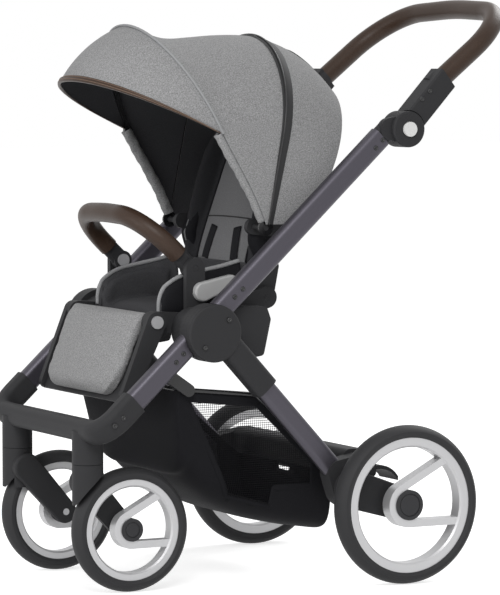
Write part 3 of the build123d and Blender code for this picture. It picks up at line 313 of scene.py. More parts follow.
FRONT_TOP = [
    (BOW_ANGLE, 0.395),
    (64.5, 0.381),
    (67, 0.366),
    (70, 0.353),
    (74, 0.343),
    (80, 0.337),
    (89, 0.336),
    (ZIP_ANGLE, ZIP_TOP),
]


def foot_lean(radius):
    """Share of the lean at a distance from the pivot."""
    return max(0.0, 1 - radius / BOW_BEND_R) ** 2


def hoop(pivot, angle, knee, top, half, start, power=2.0, bend=0.0):
    """Points over one hoop from its left foot to its right foot. bend turns its feet back, in degrees."""
    section = [(half, lerp(start, knee, i / HOOP_SIDE)) for i in range(HOOP_SIDE)]
    for i in range(HOOP_TOP):
        a = pi * i / (HOOP_TOP - 1)
        c = cos(a)
        s = max(sin(a), 0.0)
        side = half * (1 if c >= 0 else -1)
        section.append((side * abs(c) ** (2 / power), knee + (top - knee) * s ** (2 / power)))
    section += [(-half, lerp(knee, start, (i + 1) / HOOP_SIDE)) for i in range(HOOP_SIDE)]
    out = []
    for y, radius in section:
        x, z = polar(pivot, angle + bend * foot_lean(radius), radius)
        out.append(at(x, y, z))
    return out


def table_value(table, x):
    """Smooth value between the rows (place, value) of a short table."""
    places = np.array([row[0] for row in table])
    values = np.array([row[1] for row in table])
    slopes = np.gradient(values, places)
    i = int(np.clip(np.searchsorted(places, x) - 1, 0, len(table) - 2))
    span = places[i + 1] - places[i]
    t = min(max((x - places[i]) / span, 0.0), 1.0)
    start = (1 + 2 * t) * (1 - t) ** 2 * values[i] + t * (1 - t) ** 2 * span * slopes[i]
    return float(start + t * t * (3 - 2 * t) * values[i + 1] + t * t * (t - 1) * span * slopes[i + 1])


def front_hoop(angle, lift=0.0):
    """Hoop of the front panel, between the zip and the bow."""
    share = (ZIP_ANGLE - angle) / (ZIP_ANGLE - BOW_ANGLE)
    knee = lerp(ZIP_KNEE, BOW_KNEE, share)
    top = table_value(FRONT_TOP, angle) + lift
    return hoop(CANOPY_PIVOT, angle, knee, top, CANOPY_SIDE + lift, CANOPY_FOOT, bend=BOW_BEND * share)


def rear_hoop(share, lift=0.0):
    """Hoop between the zip, at 0, and the rear edge, at 1."""
    pivot = [lerp(a, b, share) for a, b in zip(CANOPY_PIVOT, REAR_FOOT)]
    angle = lerp(ZIP_ANGLE, REAR_ANGLE, share)
    knee = lerp(ZIP_KNEE, REAR_KNEE, share)
    top = lerp(ZIP_TOP, REAR_TOP, share) + REAR_BULGE * sin(pi * share) + lift
    return hoop(pivot, angle, knee, top, CANOPY_SIDE + lift, lerp(CANOPY_FOOT, REAR_START, share))


def visor_hoop(angle, lift=0.0):
    """Hoop of the visor: its rear edge is the upper part of the front bow's hoop."""
    share = (BOW_ANGLE - angle) / (BOW_ANGLE - VISOR_ANGLE)
    knee = lerp(*VISOR_KNEE, max(share, 0.0))
    top = lerp(*VISOR_TOP, share) + lift
    half = CANOPY_SIDE - VISOR_TAPER * share + lift
    return hoop(VISOR_HINGE, angle, knee, top, half, VISOR_FOOT, lerp(*VISOR_POWER, share))


# Cloth of the canopy and the visor, in gores
FRONT_GORES = 8
FRONT_LEAD = 1.0  # added to each gore's number in the share given to turn_part
VISOR_GORES = 5
VISOR_LEAD = 0.5  # added to each gore's number in the share given to turn_part
GORE_STEPS = 6
SLOPE_STEP = 0.3  # degrees to the hoops that give a gore its slope
REAR_STEPS = 14
REAR_SLOPE_STEP = 0.02
REAR_AFTER_ZIP = 0.02  # share of the way back at which the rear panel starts, under the zip
CLOSING_STEPS = 8
CLOSING_MIDDLE = 0.45
CLOSING_BULGE = 0.008
NEWTON_STEPS = 30
LEAST_SLOPE = 0.2


def turn_part(obj, share):
    """Solves a smooth turn for the share, a value that nothing uses, and bakes the piece's transform into
    its mesh.
    """
    t = share
    for _ in range(NEWTON_STEPS):
        t -= (t * t * (3 - 2 * t) - share) / max(6 * t * (1 - t), LEAST_SLOPE)
        t = min(max(t, 0.0), 1.0)
    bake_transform(obj)


def slope_normals(hoop_at, place, step, centre):
    """Normals along one hoop, away from the centre, from the slope of the whole panel."""
    here = hoop_at(place)
    ahead = hoop_at(place + step)
    behind = hoop_at(place - step)
    last = len(here) - 1
    out = []
    for i, point in enumerate(here):
        normal = (here[min(i + 1, last)] - here[max(i - 1, 0)]).cross(ahead[i] - behind[i]).normalized()
        out.append(normal if normal.dot(point - centre) > 0 else -normal)
    return out


def cloth_panel(name, hoop_at, places, step, pivot):
    """Lined cloth over the hoops at some places, shaded by the slope of the whole panel."""
    centre = at(pivot[0], 0, pivot[1])
    normals = []
    for place in places:
        normals += slope_normals(hoop_at, place, step, centre)
    rows = [hoop_at(place) for place in places]
    made = thicken(grid_piece(name, rows, lined_cloth), CLOTH, 1)
    made.data.normals_split_custom_set_from_vertices(normals + [-n for n in normals])
    return made


def make_gores(name, hoop_at, start, end, count, pivot, node, lead):
    """Gores between two hoops in place of one node."""
    span = (start - end) / count
    for g in range(count):
        first = start - g * span
        places = even(first, first - span, GORE_STEPS)
        gore = cloth_panel(f"{name}_{g}", hoop_at, places, SLOPE_STEP, pivot)
        if g == 0:
            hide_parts(node)
        turn_part(gore, (g + lead) / count)


def make_canopy_back():
    """Rear panel, and the cloth that closes it behind the backrest."""
    places = even(1.0, REAR_AFTER_ZIP, REAR_STEPS)
    rear = cloth_panel("canopy_back", rear_hoop, places, REAR_SLOPE_STEP, CANOPY_PIVOT)
    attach(rear, "backrest")
    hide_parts("canopy_rear")
    edge = rear_hoop(1.0)
    foot_x, foot_z = polar(REAR_FOOT, REAR_ANGLE, REAR_START)
    middle = at(foot_x, 0, foot_z).lerp(edge[len(edge) // 2], CLOSING_MIDDLE)
    rows = []
    for inward in even(1.0, 0.0, CLOSING_STEPS):
        bulge = Vector((-CLOSING_BULGE * sin(pi * inward), 0, 0))
        rows.append([p.lerp(middle, inward) + bulge for p in edge])
    back_cloth = thicken(grid_piece("canopy_back_cloth", rows, lined_cloth), CLOTH, 1)
    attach(back_cloth, "backrest")


make_gores(
    "canopy_gore", front_hoop, ZIP_ANGLE, BOW_ANGLE, FRONT_GORES, CANOPY_PIVOT,
    "canopy_front", FRONT_LEAD,
)
make_canopy_back()
make_gores(
    "visor_gore", visor_hoop, BOW_ANGLE, VISOR_ANGLE, VISOR_GORES, VISOR_HINGE,
    "canopy_visor", VISOR_LEAD,
)

# Brown trim round the visor's edge, with two rows of stitching. Turns are degrees from the edge
TRIM_SECTION = [(2.9, 0.0012), (2.1, 0.0026), (0.5, 0.0028), (-0.1, 0.0012), (-0.1, -0.0022), (0.9, -0.003)]
THREAD_TURNS = (2.2, 0.9)
THREAD_LIFT = 0.0028
THREAD_R = 0.0005
trim_rows = [visor_hoop(VISOR_ANGLE + turn, lift) for turn, lift in TRIM_SECTION]
trim = grid_piece("visor_trim", trim_rows, LOOKS["brown_leather"], "visor")
for k, turn in enumerate(THREAD_TURNS):
    run = visor_hoop(VISOR_ANGLE + turn, THREAD_LIFT)
    thread = loop_tube(f"visor_thread_{k}", run, THREAD_R, LOOKS["thread_brown"], "visor", sides=THIN_SIDES)

# Piped ridge over the front bow, and the sleeve that gathers on its lower ends
RIDGE_BACK = 0.4
RIDGE_LIFT = 0.002
RIDGE_R = 0.0024
RIDGE_SIDES = 8
SLEEVE_START = 0.012
SLEEVE_END = 0.187
SLEEVE_STEPS = 59
SLEEVE_AHEAD = 1.0  # degrees in front of the bow
SLEEVE_IN = 0.0092
SLEEVE_R = 0.0095
SLEEVE_FLAT = 0.8
SLEEVE_SIDES = 20
SLEEVE_CLEAR = 0.0022  # the sleeve stays this far inside the side of the canopy
GATHER = 0.05
GATHER_WAVES = [(0.9, 0.4), (0.37, 1.0)]  # turn of each wave from ring to ring and round a ring
ridge = visor_hoop(BOW_ANGLE + RIDGE_BACK, RIDGE_LIFT)
loop_tube("bow_piping", ridge, RIDGE_R, piping_grey, "canopy", sides=RIDGE_SIDES)
sleeve_run = []
for radius in even(SLEEVE_START, SLEEVE_END, SLEEVE_STEPS):
    x, z = polar(CANOPY_PIVOT, BOW_ANGLE - SLEEVE_AHEAD + BOW_BEND * foot_lean(radius), radius)
    sleeve_run.append(at(x, CANOPY_SIDE - SLEEVE_IN, z))


def sleeve(name, run):
    made = loop_tube(name, run, SLEEVE_R, grey_fabric, sides=SLEEVE_SIDES, flat=SLEEVE_FLAT, up=ACROSS)
    limit = CANOPY_SIDE - SLEEVE_CLEAR
    for v in made.data.vertices:
        ring, place = divmod(v.index, SLEEVE_SIDES)
        wave = 1.0
        for along, around in GATHER_WAVES:
            wave += GATHER * sin(ring * along + around * place)
        centre = run[min(ring, len(run) - 1)]
        v.co = centre + (v.co - centre) * wave
        v.co.y = min(max(v.co.y, -limit), limit)
    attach(made, "canopy")


both_sides("bow_sleeve", sleeve_run, sleeve)

# Black zip between the two panels: its band lies on both, and its coil on the edge
ZIP_ON_FRONT = [(1.5, 0.0012), (1.1, 0.0022)]
ZIP_ON_REAR = [(0.06, 0.0022), (0.12, 0.001)]
COIL_AHEAD = 0.1
COIL_LIFT = 0.0034
COIL_R = 0.0016
zip_rows = [front_hoop(ZIP_ANGLE - turn, lift) for turn, lift in ZIP_ON_FRONT]
zip_rows += [rear_hoop(share, lift) for share, lift in ZIP_ON_REAR]
grid_piece("zip_band", zip_rows, LOOKS["zip_black"], "backrest")
coil = front_hoop(ZIP_ANGLE - COIL_AHEAD, COIL_LIFT)
loop_tube("zip_coil", coil, COIL_R, screw_black, "backrest", sides=THIN_SIDES)

# Black mesh vent on the back of the canopy
VENT_FIRST = 0.42
VENT_LAST = 0.93
VENT_STEPS = 14
VENT_HALF = 0.055
VENT_LIFT = 0.0014
vent_rows = []
for share in even(VENT_FIRST, VENT_LAST, VENT_STEPS):
    vent_rows.append([p for p in rear_hoop(share, VENT_LIFT) if abs(p.y) < VENT_HALF])
grid_piece("vent", vent_rows, black_fabric, "backrest")

# Cushions
PAD_WELD = 0.00005
PAD_VOXEL = 0.005
PAD_SWELL = 0.006  # the most that a point may move
PAD_PRESSURE = 4.0
PAD_FRAMES = 20
PAD_QUALITY = 5
PAD_SOFTEN = 0.5
PAD_SOFTEN_ROUNDS = 4
NO_MOVE = 1e-9
PADS = [
    ("back_pad", "back_cushion", "backrest", dark_fabric, "dark_fabric"),
    ("seat_pad", "seat_cushion", "chassis", seat_lining, "dark_fabric"),
    ("leg_pad", "leg_rest_pad", "leg_rest", grey_fabric, "grey_fabric"),
]


def places_of(obj):
    return np.array([v.co for v in obj.data.vertices], float)


def fill_with_foam(pad):
    """Swells a pad by cloth simulation with pressure, up to the cap."""
    rest = places_of(pad)
    cloth = pad.modifiers.new("fill", "CLOTH")
    cloth.settings.use_pressure = True
    cloth.settings.uniform_pressure_force = PAD_PRESSURE
    cloth.settings.effector_weights.gravity = 0
    cloth.settings.quality = PAD_QUALITY
    scene = bpy.context.scene
    for number in range(1, PAD_FRAMES + 1):
        scene.frame_set(number)
    apply_modifiers(pad)
    scene.frame_set(1)
    moved = places_of(pad) - rest
    length = np.linalg.norm(moved, axis=1, keepdims=True)
    moved *= np.minimum(1.0, PAD_SWELL / np.maximum(length, NO_MOVE))
    pad.data.vertices.foreach_set("co", (rest + moved).ravel())


def soft_copy(name, node):
    """The solid's own form, filled like foam inside a sewn cover."""
    mesh = nodes[node].data.copy()
    made = bpy.data.objects.new(name, mesh)
    bpy.context.scene.collection.objects.link(made)
    work = bmesh.new()
    work.from_mesh(mesh)
    bmesh.ops.remove_doubles(work, verts=work.verts, dist=PAD_WELD)
    work.to_mesh(mesh)
    work.free()
    remesh = made.modifiers.new("even", "REMESH")
    remesh.mode = "VOXEL"
    remesh.voxel_size = PAD_VOXEL
    apply_modifiers(made)
    fill_with_foam(made)
    soften = made.modifiers.new("soften", "SMOOTH")
    soften.factor = PAD_SOFTEN
    soften.iterations = PAD_SOFTEN_ROUNDS
    finer = made.modifiers.new("finer", "SUBSURF")
    finer.levels = 1
    finer.render_levels = 1
    apply_modifiers(made)
    made.data.polygons.foreach_set("use_smooth", [True] * len(made.data.polygons))
    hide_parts(node)
    return made


pads = {}
for name, node, body, look, look_slot in PADS:
    pad = pads[name] = soft_copy(name, node)
    pad.data.materials.clear()
    pad.data.materials.append(look)
    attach(pad, body)

# The leg pad's lower corners are round
LEG_PIVOT = (0.429, 0.467)
LEG_ANGLE = -66.6
LEG_CORNER = 0.045


def round_lower_corners(pad):
    way = Vector((cos(radians(LEG_ANGLE)), 0, sin(radians(LEG_ANGLE))))
    start = at(LEG_PIVOT[0], 0, LEG_PIVOT[1])
    reach = [(v.co - start).dot(way) for v in pad.data.vertices]
    low = max(reach) - LEG_CORNER
    half = max(v.co.y for v, far in zip(pad.data.vertices, reach) if far > low) - LEG_CORNER
    for v, far in zip(pad.data.vertices, reach):
        down = far - low
        out = abs(v.co.y) - half
        if down > 0 and out > 0:
            pull = min(1.0, LEG_CORNER / sqrt(down * down + out * out)) - 1
            v.co += way * (down * pull)
            v.co.y += out * pull * (1 if v.co.y > 0 else -1)


round_lower_corners(pads["leg_pad"])

# Grey panel on the front of the backrest, with its seam, drawn as a near-black cord of painted shade, and
# piping. Places are distances above the hinge
BACK_PIVOT = (0.208, 0.503)
BACK_LEAN = 20.0
PANEL_HALF = 0.096
PANEL_SLOPE = 0.35  # faces that look forward at least this much belong to the panel
RAY_START = 0.3
RAY_MISS = 0.05  # place in front of the hinge where no pad is met
SEAM_UP = 0.13
SEAM_LIFT = 0.0003
SEAM_R = 0.0013
SEAM_STEPS = 24
PIPING_LOW = 0.05
PIPING_HIGH = 0.3
PIPING_LIFT = 0.0006
PIPING_R = 0.0022
PIPING_STEPS = 40
back_front = Vector((cos(radians(BACK_LEAN)), 0, sin(radians(BACK_LEAN))))
back_pad = pads["back_pad"]
back_pad.data.materials.append(back_grey)
for face in back_pad.data.polygons:
    if abs(face.center.y) < PANEL_HALF and face.normal.dot(back_front) > PANEL_SLOPE:
        face.material_index = 1


def on_back(up, y, lift):
    """Point on the front of the back pad, a distance above the hinge of the backrest."""
    x, z = polar(BACK_PIVOT, 90 + BACK_LEAN, up)
    far = at(x, y, z) + back_front * RAY_START
    hit, place, _, _ = back_pad.ray_cast(far, -back_front)
    return (place if hit else far - back_front * (RAY_START - RAY_MISS)) + back_front * lift


# The seam is a thin raised cord in near-black: painted shade where the crease of the seam falls
seam_run = [on_back(SEAM_UP, y, SEAM_LIFT) for y in even(-PANEL_HALF, PANEL_HALF, SEAM_STEPS)]
back_seam_shade = loop_tube("back_seam_shade", seam_run, SEAM_R, LOOKS["seam_shade"], "backrest", sides=THIN_SIDES)
panel_edge = [on_back(up, PANEL_HALF, PIPING_LIFT) for up in even(PIPING_LOW, PIPING_HIGH, PIPING_STEPS)]
side_tubes("panel_piping", panel_edge, "black_fabric", PIPING_R, black_fabric, "backrest")

# Waist straps on the panel, with their adjusters
STRAP_TOP = (0.112, 0.045)
STRAP_END = (0.035, 0.06)
STRAP_STEPS = 16
STRAP_LIFT = 0.0014
STRAP_HALF = 0.0135
STRAP_FLAT = 0.1
STRAP_SIDES = 12
ADJUSTER_TOP = 0.052
ADJUSTER_END = 0.036
ADJUSTER_Y = 0.057
ADJUSTER_LIFT = 0.004
ADJUSTER_FLAT = 0.25
ADJUSTER_SIDES = 8
ADJUSTER_STEPS = 4
strap_ups = even(STRAP_TOP[0], STRAP_END[0], STRAP_STEPS)
strap_ys = even(STRAP_TOP[1], STRAP_END[1], STRAP_STEPS)
strap_run = [on_back(up, y, STRAP_LIFT) for up, y in zip(strap_ups, strap_ys)]
side_tubes(
    "waist_strap", strap_run, "black_fabric", STRAP_HALF, black_fabric, "backrest",
    sides=STRAP_SIDES, flat=STRAP_FLAT, up=back_front,
)
adjuster_ups = even(ADJUSTER_TOP, ADJUSTER_END, ADJUSTER_STEPS)
adjuster_run = [on_back(up, ADJUSTER_Y, ADJUSTER_LIFT) for up in adjuster_ups]
side_tubes(
    "strap_adjuster", adjuster_run, "dark_plastic", STRAP_HALF, screw_black, "backrest",
    sides=ADJUSTER_SIDES, flat=ADJUSTER_FLAT, up=back_front,
)

# Bolsters beside the back pad, with light piping on their front edges
WING_EDGE = [
    (0.152, 0.775),
    (0.1837, 0.709),
    (0.2041, 0.6728),
    (0.2246, 0.6184),
    (0.2287, 0.6002),
    (0.2113, 0.5539),
]
WING_STEPS = 8
WING_Y = 0.131
WING_R = 0.016
WING_SIDES = 18
WING_PIPING_R = 0.0019
WING_PIPING_BACK = 0.002
WING_PIPING_IN = 0.006
wing_run = curve_points([at(x - WING_R, WING_Y, z) for x, z in WING_EDGE], WING_STEPS)


def back_wing(name, run):
    made = loop_tube(name, run, WING_R, black_fabric, "backrest", sides=WING_SIDES)


both_sides("back_wing", wing_run, back_wing)
wing_front = [at(x - WING_PIPING_BACK, WING_Y - WING_PIPING_IN, z) for x, z in WING_EDGE]
wing_front = curve_points(wing_front, WING_STEPS)
side_tubes("wing_piping", wing_front, "grey_fabric", WING_PIPING_R, back_grey, "backrest")

# Seat sides: padded walls, dark inside and black outside, with light piping along their tops
SEAT_EDGE = [
    (0.402, 0.478),
    (0.4015, 0.497),
    (0.397, 0.5125),
    (0.3878, 0.5246),
    (0.3607, 0.5395),
    (0.3178, 0.5488),
    (0.2846, 0.5549),
    (0.2452, 0.5644),
]
SEAT_EDGE_STEPS = 8
SEAT_WALL_Y = 0.126
SEAT_WALL_LOW = 0.468
# Outward place and share of the height, from the foot outside to the foot inside
WALL_SECTION = [
    (0.011, 0.0),
    (0.012, 0.35),
    (0.01, 0.75),
    (0.005, 0.96),
    (0.0, 1.0),
    (-0.005, 0.96),
    (-0.011, 0.7),
    (-0.014, 0.0),
]
WALL_FOLD = 0.0035
FOLD_SHORT = 0.55
FOLD_LONG = 0.21
FOLD_START = 0.6
OUTSIDE_SLOPE = 0.3  # faces that look outward at least this much are black
SEAT_PIPING_UP = 0.0025
SEAT_PIPING_R = 0.0038
edge_run = curve_points([at(x, SEAT_WALL_Y, z) for x, z in SEAT_EDGE], SEAT_EDGE_STEPS)


def seat_wall(name, run):
    side = 1 if run[0].y > 0 else -1
    rows = []
    for i, top in enumerate(run):
        fold = WALL_FOLD * sin(FOLD_SHORT * i) * sin(FOLD_LONG * i + FOLD_START)
        row = []
        for out, height in WALL_SECTION:
            soft = fold * sin(pi * height) if out < 0 else 0.0
            row.append(Vector((top.x, top.y + side * (out + soft), lerp(SEAT_WALL_LOW, top.z, height))))
        rows.append(row if side > 0 else row[::-1])
    made = grid_piece(name, rows, [seat_lining, black_fabric], close_columns=True)
    count = len(WALL_SECTION)
    work = bmesh.new()
    work.from_mesh(made.data)
    work.verts.ensure_lookup_table()
    work.faces.new([work.verts[k] for k in range(count)][::-1])
    work.faces.new([work.verts[len(work.verts) - count + k] for k in range(count)])
    bmesh.ops.recalc_face_normals(work, faces=work.faces)
    for face in work.faces:
        face.smooth = True
        face.material_index = 1 if face.normal.y * side > OUTSIDE_SLOPE else 0
    work.to_mesh(made.data)
    work.free()
    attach(made, "chassis")


both_sides("seat_wall", edge_run, seat_wall)
piping_run = [p + Vector((0, 0, SEAT_PIPING_UP)) for p in edge_run]
side_tubes("seat_piping", piping_run, "grey_fabric", SEAT_PIPING_R, piping_grey, "chassis")

# Cloth from the seat pad to the back pad, across the hinge of the backrest
BRIDGE = [(0.268, 0.489), (0.247, 0.493), (0.2345, 0.508), (0.2285, 0.535), (0.226, 0.562)]
BRIDGE_STEPS = 6
BRIDGE_HALF = 0.116
BRIDGE_COLUMNS = 24
bridge_line = curve_points([at(x, 0, z) for x, z in BRIDGE], BRIDGE_STEPS)
bridge_ys = even(BRIDGE_HALF, -BRIDGE_HALF, BRIDGE_COLUMNS)
bridge_rows = [[Vector((p.x, y, p.z)) for y in bridge_ys] for p in bridge_line]
bridge = thicken(grid_piece("seat_bridge", bridge_rows, seat_lining), CLOTH)
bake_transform(bridge)

# Basket: a cloth tub hung from the rod, with net windows in its sides
BASKET_FLOOR = [
    (0.09, 0.083),
    (0.17, 0.096),
    (0.25, 0.118),
    (0.315, 0.15),
    (0.362, 0.19),
    (0.392, 0.235),
    (0.4, 0.286),
]
BASKET_TOP = [(0.09, 0.19), (0.252, 0.335), (0.4, 0.35)]
BASKET_LOW = 0.07
BASKET_HEIGHT = 0.278
BASKET_LOW_HALF = 0.168
BASKET_HIGH_HALF = 0.198
BASKET_FULL = 6.0  # power of the rounding where the sides turn into the floor
BASKET_CLOTH = 0.0012
BASKET_COLUMNS = 96
BASKET_STEPS = 90
CAP_STEPS = 8  # steps from the end of the tub to the middle of its end wall
SIDE_WAY = 0.36  # share of the way across that goes into each side
SIDE_DEPTH = 0.9  # depth at which a side turns into the floor
SIDE_DEEPEST = 0.995
NET_PITCH = 0.004
NET_THREAD = 0.0013
NET_LEAST_Y = 0.12  # only the sides of the tub have windows
NET_EDGE = [
    (0.383, 0.334),
    (0.247, 0.32),
    (0.128, 0.211),
    (0.128, 0.168),
    (0.203, 0.168),
    (0.205, 0.134),
    (0.287, 0.157),
    (0.325, 0.225),
    (0.354, 0.279),
]
NET_SPANS = list(zip(NET_EDGE, NET_EDGE[1:] + NET_EDGE[:1]))
NET_REAR = min(x for x, z in NET_EDGE)
NET_FRONT = max(x for x, z in NET_EDGE)
NET_LOW = min(z for x, z in NET_EDGE)
NET_HIGH = max(z for x, z in NET_EDGE)
TAPE_STEPS = 8
TAPE_LIFT = 0.0006
TAPE_HALF = 0.005
TAPE_FLAT = 0.2


def basket_top(x):
    return float(np.interp(x, [p[0] for p in BASKET_TOP], [p[1] for p in BASKET_TOP]))


def basket_half(z):
    return lerp(BASKET_LOW_HALF, BASKET_HIGH_HALF, (z - BASKET_LOW) / BASKET_HEIGHT)


def fullness(share):
    """Width of the tub at a share of its depth, and the same the other way round."""
    return (1 - share**BASKET_FULL) ** (1 / BASKET_FULL)


def basket_section(x, way, shrink=1.0):
    """Point on the tub across one place. way runs from the left rim, 0, over the floor to the right, 1."""
    top = basket_top(x)
    near = min(way, 1 - way)
    if near < SIDE_WAY:
        depth = SIDE_DEPTH * near / SIDE_WAY
        out = fullness(depth)
    else:
        out = fullness(SIDE_DEPTH) * (0.5 - near) / (0.5 - SIDE_WAY)
        depth = fullness(out)
    drop = (top - table_value(BASKET_FLOOR, x)) * depth * shrink
    y = basket_half(top - drop) * out * shrink
    return at(x, y if way < 0.5 else -y, top - drop)


def basket_side(x, z, side, lift):
    """Point on the side of the tub at a height."""
    top = basket_top(x)
    depth = min(max((top - z) / (top - table_value(BASKET_FLOOR, x)), 0.0), SIDE_DEEPEST)
    return at(x, side * (basket_half(z) * fullness(depth) + lift), z)


def inside_net(x, z):
    """True within the outline of the net window."""
    inside = False
    for (x0, z0), (x1, z1) in NET_SPANS:
        if (z0 > z) != (z1 > z) and x < x0 + (x1 - x0) * (z - z0) / (z1 - z0):
            inside = not inside
    return inside


def make_basket():
    """Cloth tub with its windows cut out, and the rows that it was made of."""
    places = even(BASKET_TOP[0][0], BASKET_TOP[-1][0], BASKET_STEPS)
    sections = [(places[0], k / CAP_STEPS) for k in range(1, CAP_STEPS)]
    sections += [(x, 1.0) for x in places]
    sections += [(places[-1], 1 - k / CAP_STEPS) for k in range(1, CAP_STEPS)]
    ways = [j / (BASKET_COLUMNS - 1) for j in range(BASKET_COLUMNS)]
    rows = [[basket_section(x, way, shrink) for way in ways] for x, shrink in sections]
    made = grid_piece("basket_cloth", rows, black_fabric)
    work = bmesh.new()
    work.from_mesh(made.data)
    gone = []
    for face in work.faces:
        c = face.calc_center_median()
        if abs(c.y) > NET_LEAST_Y and inside_net(c.x + ORIGIN_X, c.z):
            gone.append(face)
    bmesh.ops.delete(work, geom=gone, context="FACES")
    work.to_mesh(made.data)
    work.free()
    return thicken(made, BASKET_CLOTH), rows


def make_net(name, side):
    """Square net of round threads in one window."""
    points = {}
    faces = []
    for i in range(int((NET_FRONT - NET_REAR) / NET_PITCH) + 1):
        for k in range(int((NET_HIGH - NET_LOW) / NET_PITCH) + 1):
            x = NET_REAR + i * NET_PITCH
            z = NET_LOW + k * NET_PITCH
            if inside_net(x + NET_PITCH / 2, z + NET_PITCH / 2):
                corners = [(i, k), (i + 1, k), (i + 1, k + 1), (i, k + 1)]
                faces.append([points.setdefault(c, len(points)) for c in corners])
    spots = [basket_side(NET_REAR + i * NET_PITCH, NET_LOW + k * NET_PITCH, side, 0.0) for i, k in points]
    made = piece(name, spots, faces, black_fabric)
    threads = made.modifiers.new("threads", "WIREFRAME")
    threads.thickness = NET_THREAD
    threads.use_even_offset = False
    return apply_modifiers(made)


def make_tape(name, side):
    """Flat tape along the edge of one window."""
    run = []
    for (x0, z0), (x1, z1) in NET_SPANS:
        for k in range(TAPE_STEPS):
            t = k / TAPE_STEPS
            run.append(basket_side(lerp(x0, x1, t), lerp(z0, z1, t), side, TAPE_LIFT))
    return loop_tube(name, run, TAPE_HALF, black_fabric, closed=True, flat=TAPE_FLAT, up=ACROSS)


basket, basket_rows = make_basket()
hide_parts("basket")
basket_pieces = [basket]
for name, side in (("left", 1), ("right", -1)):
    basket_pieces.append(make_net(name + "_net", side))
    basket_pieces.append(make_tape(name + "_net_tape", side))
for one in basket_pieces:
    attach(one, "chassis")

# Screws: the place of each head on the left side, and its body
SCREWS = [
    (0.2951, 0.2385, 0.5246, "push_bar"),
    (0.3106, 0.2385, 0.5112, "push_bar"),
    (0.4094, 0.2385, 0.4166, "chassis"),
    (0.4226, 0.2385, 0.4024, "chassis"),
    (0.019, 0.2385, 0.7782, "push_bar"),
    (0.033, 0.2385, 0.7644, "push_bar"),
    (0.5244, 0.2415, 0.3124, "chassis"),
    (0.5403, 0.2415, 0.2996, "chassis"),
    (0.2654, 0.245, 0.3613, "rear_frame"),
    (0.3306, 0.2565, 0.4733, "push_bar"),
    (0.3766, 0.2565, 0.4269, "push_bar"),
    (-0.0734, 0.243, 0.8638, "handle"),
    (-0.0572, 0.243, 0.8497, "handle"),
]
# Radius and outward place, from the floor of the socket over the rim to below the surface
SCREW_PROFILE = [
    (0.0001, 0.0008),
    (0.0018, 0.0008),
    (0.0019, 0.0018),
    (0.0036, 0.0018),
    (0.0044, 0.0008),
    (0.0044, -0.002),
]
SCREW_SIDES = 18


def screw(name, centre, body, side):
    rows = []
    for r, out in SCREW_PROFILE:
        row = []
        for k in range(SCREW_SIDES):
            a = 2 * pi * k / SCREW_SIDES
            row.append(Vector((centre.x + r * cos(a), centre.y + side * out, centre.z + r * sin(a))))
        rows.append(row if side > 0 else row[::-1])
    made = grid_piece(name, rows, screw_black, body, close_columns=True)


for number, (x, y, z, body) in enumerate(SCREWS):
    screw(f"left_screw_{number}", at(x, y, z), body, 1)
    screw(f"right_screw_{number}", at(x, -y, z), body, -1)

# Floor, light and camera
WHITE = (1, 1, 1, 1)
FLOOR_SIZE = 30.0
FLOOR_COLOUR = (0.8, 0.8, 0.8, 1)
FLOOR_GLOW = 0.7
WORLD_LIGHT = 0.42
LAMP_TARGET = (0, 0, 0.5)
# Each lamp: place, size across and power in watts
LAMPS = {
    "key": ((1.6, 2.6, 2.6), 1.6, 52),
    "fill": ((3.0, 0.6, 1.2), 2.0, 22),
    "back": ((-2.2, -1.0, 2.4), 1.6, 36),
}
PHOTO_HEIGHT = 595
FOCAL_PIXELS = 3446.64
SENSOR = 36.0
CAMERA_PLACE = (3.0034, 5.5057, 0.9058)
CAMERA_WAY = (-0.45806, -0.88642, -0.06669)
CAMERA_REACH = 100


def white_for_camera(tree):
    """Factor that is 1 for what the camera sees directly, in gloss or through glass."""
    path = tree.nodes.new("ShaderNodeLightPath")
    seen = path.outputs["Is Camera Ray"]
    for ray in ("Is Glossy Ray", "Is Transmission Ray"):
        either = tree.nodes.new("ShaderNodeMath")
        either.operation = "MAXIMUM"
        tree.links.new(seen, either.inputs[0])
        tree.links.new(path.outputs[ray], either.inputs[1])
        seen = either.outputs[0]
    return seen


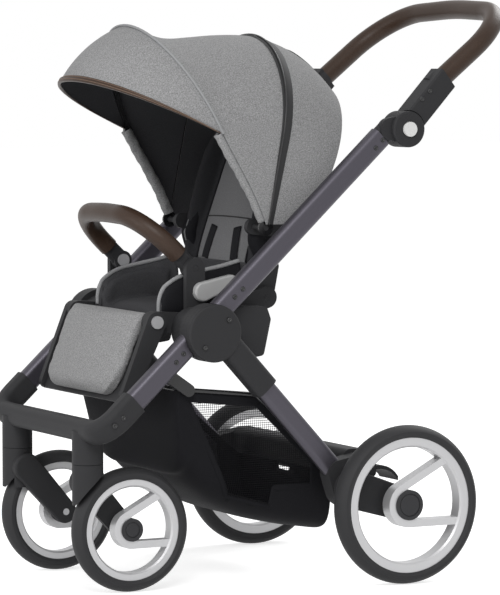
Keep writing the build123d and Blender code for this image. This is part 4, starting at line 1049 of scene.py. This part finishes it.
def make_floor():
    size = FLOOR_SIZE
    corners = [(-size, -size, 0), (size, -size, 0), (size, size, 0), (-size, size, 0)]
    look = bpy.data.materials.new("floor")
    look.use_nodes = True
    tree = look.node_tree
    tree.nodes.clear()
    out = tree.nodes.new("ShaderNodeOutputMaterial")
    matt = tree.nodes.new("ShaderNodeBsdfDiffuse")
    matt.inputs["Color"].default_value = FLOOR_COLOUR
    glow = tree.nodes.new("ShaderNodeEmission")
    glow.inputs["Color"].default_value = WHITE
    both = tree.nodes.new("ShaderNodeAddShader")
    tree.links.new(matt.outputs[0], both.inputs[0])
    tree.links.new(glow.outputs[0], both.inputs[1])
    scale = tree.nodes.new("ShaderNodeMath")
    scale.operation = "MULTIPLY"
    scale.inputs[1].default_value = FLOOR_GLOW
    tree.links.new(white_for_camera(tree), scale.inputs[0])
    tree.links.new(scale.outputs[0], glow.inputs["Strength"])
    tree.links.new(both.outputs[0], out.inputs["Surface"])
    piece("floor", corners, [(0, 1, 2, 3)], look)


def make_world():
    world = bpy.data.worlds.new("studio")
    bpy.context.scene.world = world
    world.use_nodes = True
    tree = world.node_tree
    tree.nodes.clear()
    out = tree.nodes.new("ShaderNodeOutputWorld")
    light = tree.nodes.new("ShaderNodeBackground")
    light.inputs["Color"].default_value = WHITE
    light.inputs["Strength"].default_value = WORLD_LIGHT
    seen = tree.nodes.new("ShaderNodeBackground")
    seen.inputs["Color"].default_value = WHITE
    seen.inputs["Strength"].default_value = 1.0
    mix = tree.nodes.new("ShaderNodeMixShader")
    tree.links.new(white_for_camera(tree), mix.inputs[0])
    tree.links.new(light.outputs[0], mix.inputs[1])
    tree.links.new(seen.outputs[0], mix.inputs[2])
    tree.links.new(mix.outputs[0], out.inputs["Surface"])


def area_light(name, place, size, power):
    lamp = bpy.data.lights.new(name, "AREA")
    lamp.shape = "DISK"
    lamp.size = size
    lamp.energy = power
    made = bpy.data.objects.new(name, lamp)
    bpy.context.scene.collection.objects.link(made)
    made.location = place
    made.rotation_euler = (Vector(LAMP_TARGET) - Vector(place)).to_track_quat("-Z", "Y").to_euler()


def make_camera():
    lens = bpy.data.cameras.new("photo")
    lens.sensor_fit = "VERTICAL"
    lens.sensor_height = SENSOR
    lens.lens = FOCAL_PIXELS * SENSOR / PHOTO_HEIGHT
    lens.clip_end = CAMERA_REACH
    made = bpy.data.objects.new("photo", lens)
    bpy.context.scene.collection.objects.link(made)
    made.location = at(*CAMERA_PLACE)
    made.rotation_euler = Vector(CAMERA_WAY).to_track_quat("-Z", "Y").to_euler()
    bpy.context.scene.camera = made


make_floor()
make_world()
for name, (place, size, power) in LAMPS.items():
    area_light(name, place, size, power)
make_camera()
bpy.context.scene.view_settings.view_transform = "Standard"
